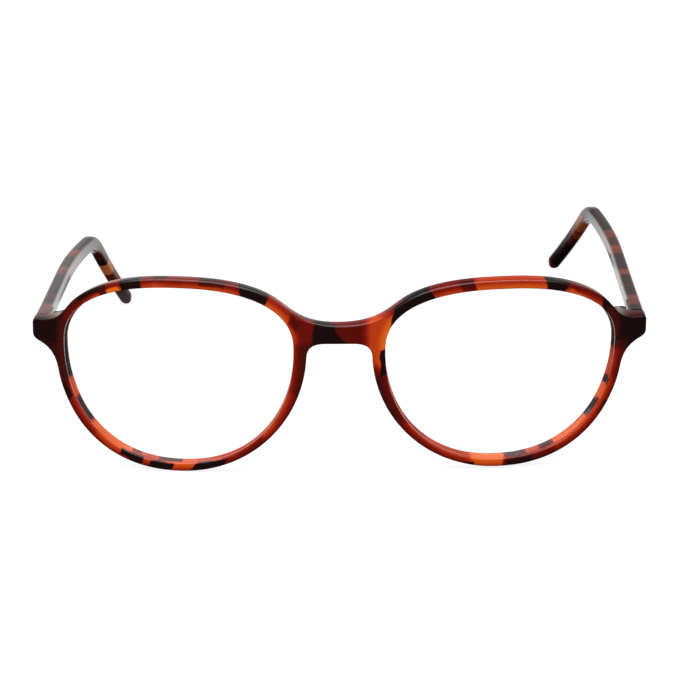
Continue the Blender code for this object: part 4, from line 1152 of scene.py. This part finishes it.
# %% The profile and the sweep
# The profile's points come in four corners, and each keeps its turn and its corner's diagonal.
QUARTER_TURN = math.pi / 2
steps = (
    ("corner points", "ADD", "Corner steps", 1.0),
    ("points round", "MULTIPLY", "corner points", 4.0),
    ("corner", "ADD", "index", 0.5),
    ("corner", "DIVIDE", "corner", "corner points"),
    ("corner", "FLOOR", "corner"),
    ("before", "MULTIPLY", "corner", "corner points"),
    ("in corner", "SUBTRACT", "index", "before"),
    ("turn", "DIVIDE", "in corner", "Corner steps"),
    ("turn", "ADD", "corner", "turn"),
    ("turn", "MULTIPLY", "turn", QUARTER_TURN),
    ("diagonal", "ADD", "corner", 0.5),
    ("diagonal", "MULTIPLY", "diagonal", QUARTER_TURN),
)
for name, operation, *inputs in steps:
    feeds = {i: found.get(given, given) for i, given in enumerate(inputs)}
    found[name] = add_node(tree, "ShaderNodeMath", feeds, operation=operation).outputs[0]
points_round = add_node(tree, "FunctionNodeFloatToInt", {0: found["points round"]}).outputs[0]
ring = add_node(tree, "GeometryNodeCurvePrimitiveCircle", {"Resolution": points_round, "Radius": MM})
for name in ("turn", "diagonal"):
    feeds = {"Geometry": ring.outputs[0], "Name": name, "Value": found[name]}
    ring = add_node(tree, "GeometryNodeStoreNamedAttribute", feeds, data_type="FLOAT", domain="POINT")
swept = add_node(tree, "GeometryNodeCurveToMesh", {
    "Curve": line.outputs[0], "Profile Curve": ring.outputs[0], "Fill Caps": True,
})
print("steps of the profile:", len(steps))

# %% Sizes of the section at each length
# From here on these names stand for what the sweep carries.
CARRIED = {
    "length": "FLOAT",
    "heading": "FLOAT_VECTOR",
    "middle": "FLOAT_VECTOR",
    "turn": "FLOAT",
    "diagonal": "FLOAT",
}
for name, kind in CARRIED.items():
    read = add_node(tree, "GeometryNodeInputNamedAttribute", {"Name": name}, data_type=kind)
    found[name] = read.outputs[0]
steps = (("round start", "Length", "End round"), ("tip drop", "Tip height", "Height"))
for name, whole, less in steps:
    found[name] = add_node(tree, "ShaderNodeMath", {0: found[whole], 1: found[less]},
                           operation="SUBTRACT").outputs[0]
# Each size changes smoothly from one value to another between two lengths.
CHANGES = (
    # name, from this length, to this length, size at first, size at last
    ("thick", 0.0, "Butt taper", "Butt thickness", "Thickness"),
    ("high", 0.0, "Butt taper", "Butt height", "Height"),
    ("drop", "To bow", "round start", 0.0, "tip drop"),
    ("rounding", "To bow", "round start", "Edge round", "Tip edge round"),
)
for name, *limits in CHANGES:
    feeds = {"Value": found["length"]}
    for socket, given in zip(("From Min", "From Max", "To Min", "To Max"), limits):
        feeds[socket] = found.get(given, given)
    changing = add_node(tree, "ShaderNodeMapRange", feeds, interpolation_type="SMOOTHSTEP")
    found[name] = changing.outputs[0]
print("sizes that change along a temple:", [name for name, *_ in CHANGES])

# %% The rounded section and the rounded end
# The end keeps a little of its thickness and height, so that the cap is no needle point.
END_THICKNESS, END_HEIGHT, FULLEST_ROUND = 0.4, 0.1, 0.48
steps = (
    ("high", "ADD", "high", "drop"),
    ("end share", "SUBTRACT", "length", "round start"),
    ("end share", "MAXIMUM", "end share", 0.0),
    ("end share", "DIVIDE", "end share", "End round"),
    ("shrink", "MULTIPLY", "end share", "end share"),
    ("shrink", "SUBTRACT", 1.0, "shrink"),
    ("shrink", "MAXIMUM", "shrink", 0.0),
    ("shrink", "SQRT", "shrink"),
    ("end thick", "MULTIPLY_ADD", "shrink", 1 - END_THICKNESS, END_THICKNESS),
    ("end thick", "MULTIPLY", "thick", "end thick"),
    ("end high", "MULTIPLY_ADD", "shrink", 1 - END_HEIGHT, END_HEIGHT),
    ("end high", "MULTIPLY", "high", "end high"),
    ("radius", "MINIMUM", "end thick", "end high"),
    ("radius", "MULTIPLY", "radius", FULLEST_ROUND),
    ("radius", "MINIMUM", "rounding", "radius"),
    ("half thick", "MULTIPLY", "end thick", 0.5),
    ("half thick", "SUBTRACT", "half thick", "radius"),
    ("inward", "COSINE", "diagonal"),
    ("inward", "MULTIPLY", "inward", math.sqrt(2)),
    ("inward", "MULTIPLY", "inward", "half thick"),
    ("round in", "COSINE", "turn"),
    ("inward", "MULTIPLY_ADD", "round in", "radius", "inward"),
    ("half high", "MULTIPLY", "end high", 0.5),
    ("half high", "SUBTRACT", "half high", "radius"),
    ("upward", "SINE", "diagonal"),
    ("upward", "MULTIPLY", "upward", math.sqrt(2)),
    ("upward", "MULTIPLY", "upward", "half high"),
    ("round up", "SINE", "turn"),
    ("upward", "MULTIPLY_ADD", "round up", "radius", "upward"),
    ("from outer", "MULTIPLY_ADD", "thick", 0.5, "inward"),
)
for name, operation, *inputs in steps:
    feeds = {i: found.get(given, given) for i, given in enumerate(inputs)}
    found[name] = add_node(tree, "ShaderNodeMath", feeds, operation=operation).outputs[0]
print("steps of the section:", len(steps))

# %% Every point to its place
heading = found["heading"]
in_way = add_node(tree, "ShaderNodeVectorMath", {0: (0, 0, 1), 1: heading}, operation="CROSS_PRODUCT")
in_way = add_node(tree, "ShaderNodeVectorMath", {0: in_way.outputs[0]}, operation="NORMALIZE")
up_way = add_node(tree, "ShaderNodeVectorMath", {0: heading, 1: in_way.outputs[0]}, operation="CROSS_PRODUCT")
moves = []
for way, distance in ((in_way, "from outer"), (up_way, "upward")):
    feeds = {0: way.outputs[0], "Scale": found[distance]}
    moves.append(add_node(tree, "ShaderNodeVectorMath", feeds, operation="SCALE").outputs[0])
spot = add_node(tree, "ShaderNodeVectorMath", {0: moves[0], 1: moves[1]}, operation="ADD")
spot = add_node(tree, "ShaderNodeVectorMath", {0: spot.outputs[0], 1: found["middle"]}, operation="ADD")
made = add_node(tree, "GeometryNodeSetPosition", {"Geometry": swept.outputs[0], "Position": spot.outputs[0]})
# The place in the flat strip: along it, up, and inwards from the outer face, in millimetres.
strip = {0: found["length"], 1: found["upward"], 2: found["from outer"]}
strip = add_node(tree, "ShaderNodeCombineXYZ", strip)
strip = add_node(tree, "ShaderNodeVectorMath", {0: strip.outputs[0], "Scale": 1 / MM}, operation="SCALE")
# A glow of 0.5 paints neither light nor shade on the temples.
for name, kind, given in (("sheet", "FLOAT_VECTOR", strip.outputs[0]), ("glow", "FLOAT", 0.5)):
    feeds = {"Geometry": made.outputs[0], "Name": name, "Value": given}
    made = add_node(tree, "GeometryNodeStoreNamedAttribute", feeds, data_type=kind, domain="POINT")
made = add_node(tree, "GeometryNodeRealizeInstances", {"Geometry": made.outputs[0]})
made = add_node(tree, "GeometryNodeSetMaterial", {"Geometry": made.outputs[0], "Material": found["Acetate"]})
add_node(tree, "NodeGroupOutput", {0: made.outputs[0]})
print("temple tree:", len(tree.nodes), "nodes")

# %% [markdown]
# ## The two temples
#
# Both temples share the tree. The left one bends 3 mm later than the right one and slopes a little less, as
# in the photograph. In the flat strip a chip's first number is the length from the butt and the second is
# up. The strip is thin, so a temple's chips run through its whole thickness.

# %% Chips of the temples
def band(warmth, start, end, skew, softness):
    """A chip over a temple's whole height, from one length to another."""
    return chip(warmth, (start, 0), (end, 0), 7, WHOLE, skew, softness)


temple_chips = {
    "left": [
        band(0.16, 12, 45, 20, 1.0),
        chip(0.30, (16, 1.4), (22, 1.4), 2.0, WHOLE, 30, 0.8),
        band(0.13, 53.5, 66, -25, 1.0),
        band(0.14, 76.5, 98, 20, 1.2),
        chip(0.36, (93, 1.5), (98, 1.5), 2.2, WHOLE, 20, 0.8),
        band(0.34, 98, 108, 25, 1.2),
        chip(0.14, (107, -0.8), (112.0, -0.8), 5, WHOLE, 20, 0.7),
        band(0.95, 112, 118.5, -20, 0.4),
        chip(0.20, (116, 1.2), (119, 1.2), 1.6, WHOLE, 0, 0.5),
        band(0.44, 118.5, 126, 0, 1.0),
        band(0.27, 128, 142, 0, 1.0),
    ],
    "right": [
        band(0.16, -1, 5, 20, 0.6),
        band(0.20, 12.5, 29.5, 15, 0.8),
        band(0.34, 20, 21.5, 20, 0.8),
        band(0.58, 29.5, 34, 15, 0.6),
        band(0.16, 34.5, 48, 20, 0.8),
        band(0.24, 55.5, 62.5, 20, 0.8),
        band(0.16, 69.5, 99, 15, 0.8),
        chip(0.46, (79, 0.5), (81.5, 0.5), 1.4, WHOLE, 15, 0.5),
        band(0.76, 99.5, 108, -15, 1.0),
        band(0.55, 108, 112.5, 30, 0.8),
        band(0.05, 112.5, 136, 30, 0.6),
        chip(0.38, (113.5, -1.1), (118, -1.1), 1.8, WHOLE, 20, 0.6),
        band(0.34, 135, 142, 0, 0.8),
    ],
}
for side_name, chips in temple_chips.items():
    print("chips in the", side_name, "temple:", len(chips))

# %% Sizes of the temples
TEMPLE_SIZES = {
    "Length": 0.1396,
    "To bow": 0.0510,
    "Bow radius": 0.346,
    "Bend radius": 0.0235,
    "Bend angle": math.radians(33.5),
    "Butt thickness": 0.00325,
    "Thickness": 0.00280,
    "Butt height": 0.0042,
    "Height": 0.0039,
    "Tip height": 0.0036,
    "Butt taper": 0.0150,
    "End round": 0.0029,
    "Edge round": 0.0007,
    "Tip edge round": 0.00118,
    "Stations": 420,
    "Corner steps": 8,
    "Start": (HALF_WIDTH - 0.0002, JOINT_DEPTH + 0.0003, ENDPIECE_TOP - 0.0021 - TWIST_AXIS),
}
OWN_SIZES = {
    "left": {"To bend": 0.0917, "Slope": math.radians(2.5)},
    "right": {"To bend": 0.0887, "Slope": math.radians(3.3)},
}
print("temple length in mm:", TEMPLE_SIZES["Length"] / MM)

# %% The two temples
TEMPLE_WARMTH = 0.50
WELD_DISTANCE = 0.002 * MM
socket_ids = {
    item.name: item.identifier for item in temple_tree.interface.items_tree if item.in_out == "INPUT"
}

for side_name, side in SIDES.items():
    blank = bpy.data.objects.new(f"temple_blank_{side_name}", bpy.data.meshes.new("blank"))
    scene.collection.objects.link(blank)
    rule = blank.modifiers.new("bent temple", "NODES")
    rule.node_group = temple_tree
    name = f"tortoiseshell acetate, tumbled, {side_name} temple"
    acetate = acetate_finish(name, temple_chips[side_name], TEMPLE_WARMTH, SHADED_TEMPLE_STOPS)
    for label, given in {**TEMPLE_SIZES, **OWN_SIZES[side_name], "Acetate": acetate}.items():
        rule[socket_ids[label]] = given
    evaluated = blank.evaluated_get(bpy.context.evaluated_depsgraph_get())
    mesh = bpy.data.meshes.new_from_object(evaluated)
    bpy.data.objects.remove(blank)
    for name in CARRIED:
        mesh.attributes.remove(mesh.attributes[name])
    shape = bmesh.new()
    shape.from_mesh(mesh)
    bmesh.ops.remove_doubles(shape, verts=shape.verts, dist=WELD_DISTANCE)
    for vert in shape.verts:
        place = Vector((side * vert.co.x, vert.co.y, vert.co.z))
        vert.co = leant(place, FRONT_LEAN + side * TWIST_HALF)
    temple = finished(f"acetate_temple_{side_name}", shape, acetate, 50)
    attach(temple, f"{side_name}_temple_assembly")
    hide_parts(f"temple_{side_name}")
    low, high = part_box(f"temple_{side_name}")
    sizes = [[round(c / MM, 1) for c in box] for box in (temple.dimensions, high - low)]
    print(temple.name, len(temple.data.vertices), "points, box", sizes[0], "CAD", sizes[1])

# %% [markdown]
# ## The metal
#
# The hinges are nickel silver, stamped, then polished in a barrel with steel shot: a warm grey, with a soft
# sheen and fine random scratches. The core wires are drawn from the same metal, and the screws are turned
# steel. Their CAD solids are right as they are, so they only get their finishes. An image of scratches would
# need UVs, which the solids don't have, so a fine noise in the object's own millimetres makes them.

# %% The metal
# node: name of the finish, colour, roughness, and how many scratches there are in a millimetre
METALS = {
    "front_hinge": ("nickel silver, shot polished", "#C9C3BA", 0.28, 6.0),
    "temple_hinge": ("nickel silver, stamped leaf", "#C4BEB6", 0.32, 5.0),
    "hinge_screw": ("steel, turned screw", "#B9B9B8", 0.30, 9.0),
    "core_wire": ("nickel silver wire, drawn", "#C2BCB2", 0.30, 4.0),
}
TARNISH, ROUGHNESS_SWING = "#5E5A56", 0.07
# Real polishing marks are finer still: these are drawn 0.1 to 0.25 mm wide, so that they show close up.


def metal_finish(name, colour, roughness, scratches_per_mm):
    finish, tree = empty_material(name)
    where = add_node(tree, "ShaderNodeTexCoord").outputs["Object"]
    in_mm = add_node(tree, "ShaderNodeMapping", {"Vector": where, "Scale": (1 / MM, 1 / MM, 1 / MM)})
    scratches = add_node(tree, "ShaderNodeTexNoise", {
        "Vector": in_mm.outputs[0], "Scale": scratches_per_mm, "Detail": 3.0,
    })
    sheen = add_node(tree, "ShaderNodeMapRange", {
        "Value": scratches.outputs[0], "To Min": roughness - ROUGHNESS_SWING,
        "To Max": roughness + ROUGHNESS_SWING,
    })
    # Where the metal is dullest it is a little darker too.
    dull = add_node(tree, "ShaderNodeMapRange", {
        "Value": scratches.outputs[0], "From Min": 0.35, "From Max": 0.75, "To Min": 0.0, "To Max": 0.25,
    })
    tone = add_node(tree, "ShaderNodeMix", {0: dull.outputs[0], 6: linear(colour), 7: linear(TARNISH)},
                    data_type="RGBA")
    relief = add_node(tree, "ShaderNodeBump", {
        "Height": scratches.outputs[0], "Strength": 0.08, "Distance": 0.1 * MM,
    })
    shader = add_node(tree, "ShaderNodeBsdfPrincipled", {
        "Base Color": tone.outputs[2], "Metallic": 1.0, "Roughness": sheen.outputs[0],
        "Normal": relief.outputs[0],
    })
    add_node(tree, "ShaderNodeOutputMaterial", {"Surface": shader.outputs[0]})
    return finish


for piece, look in METALS.items():
    finish = metal_finish(*look)
    for side_name in SIDES:
        node = nodes[f"{piece}_{side_name}"]
        for holder in node.material_slots:
            holder.material = finish
        print(node.name, "finish:", finish.name)
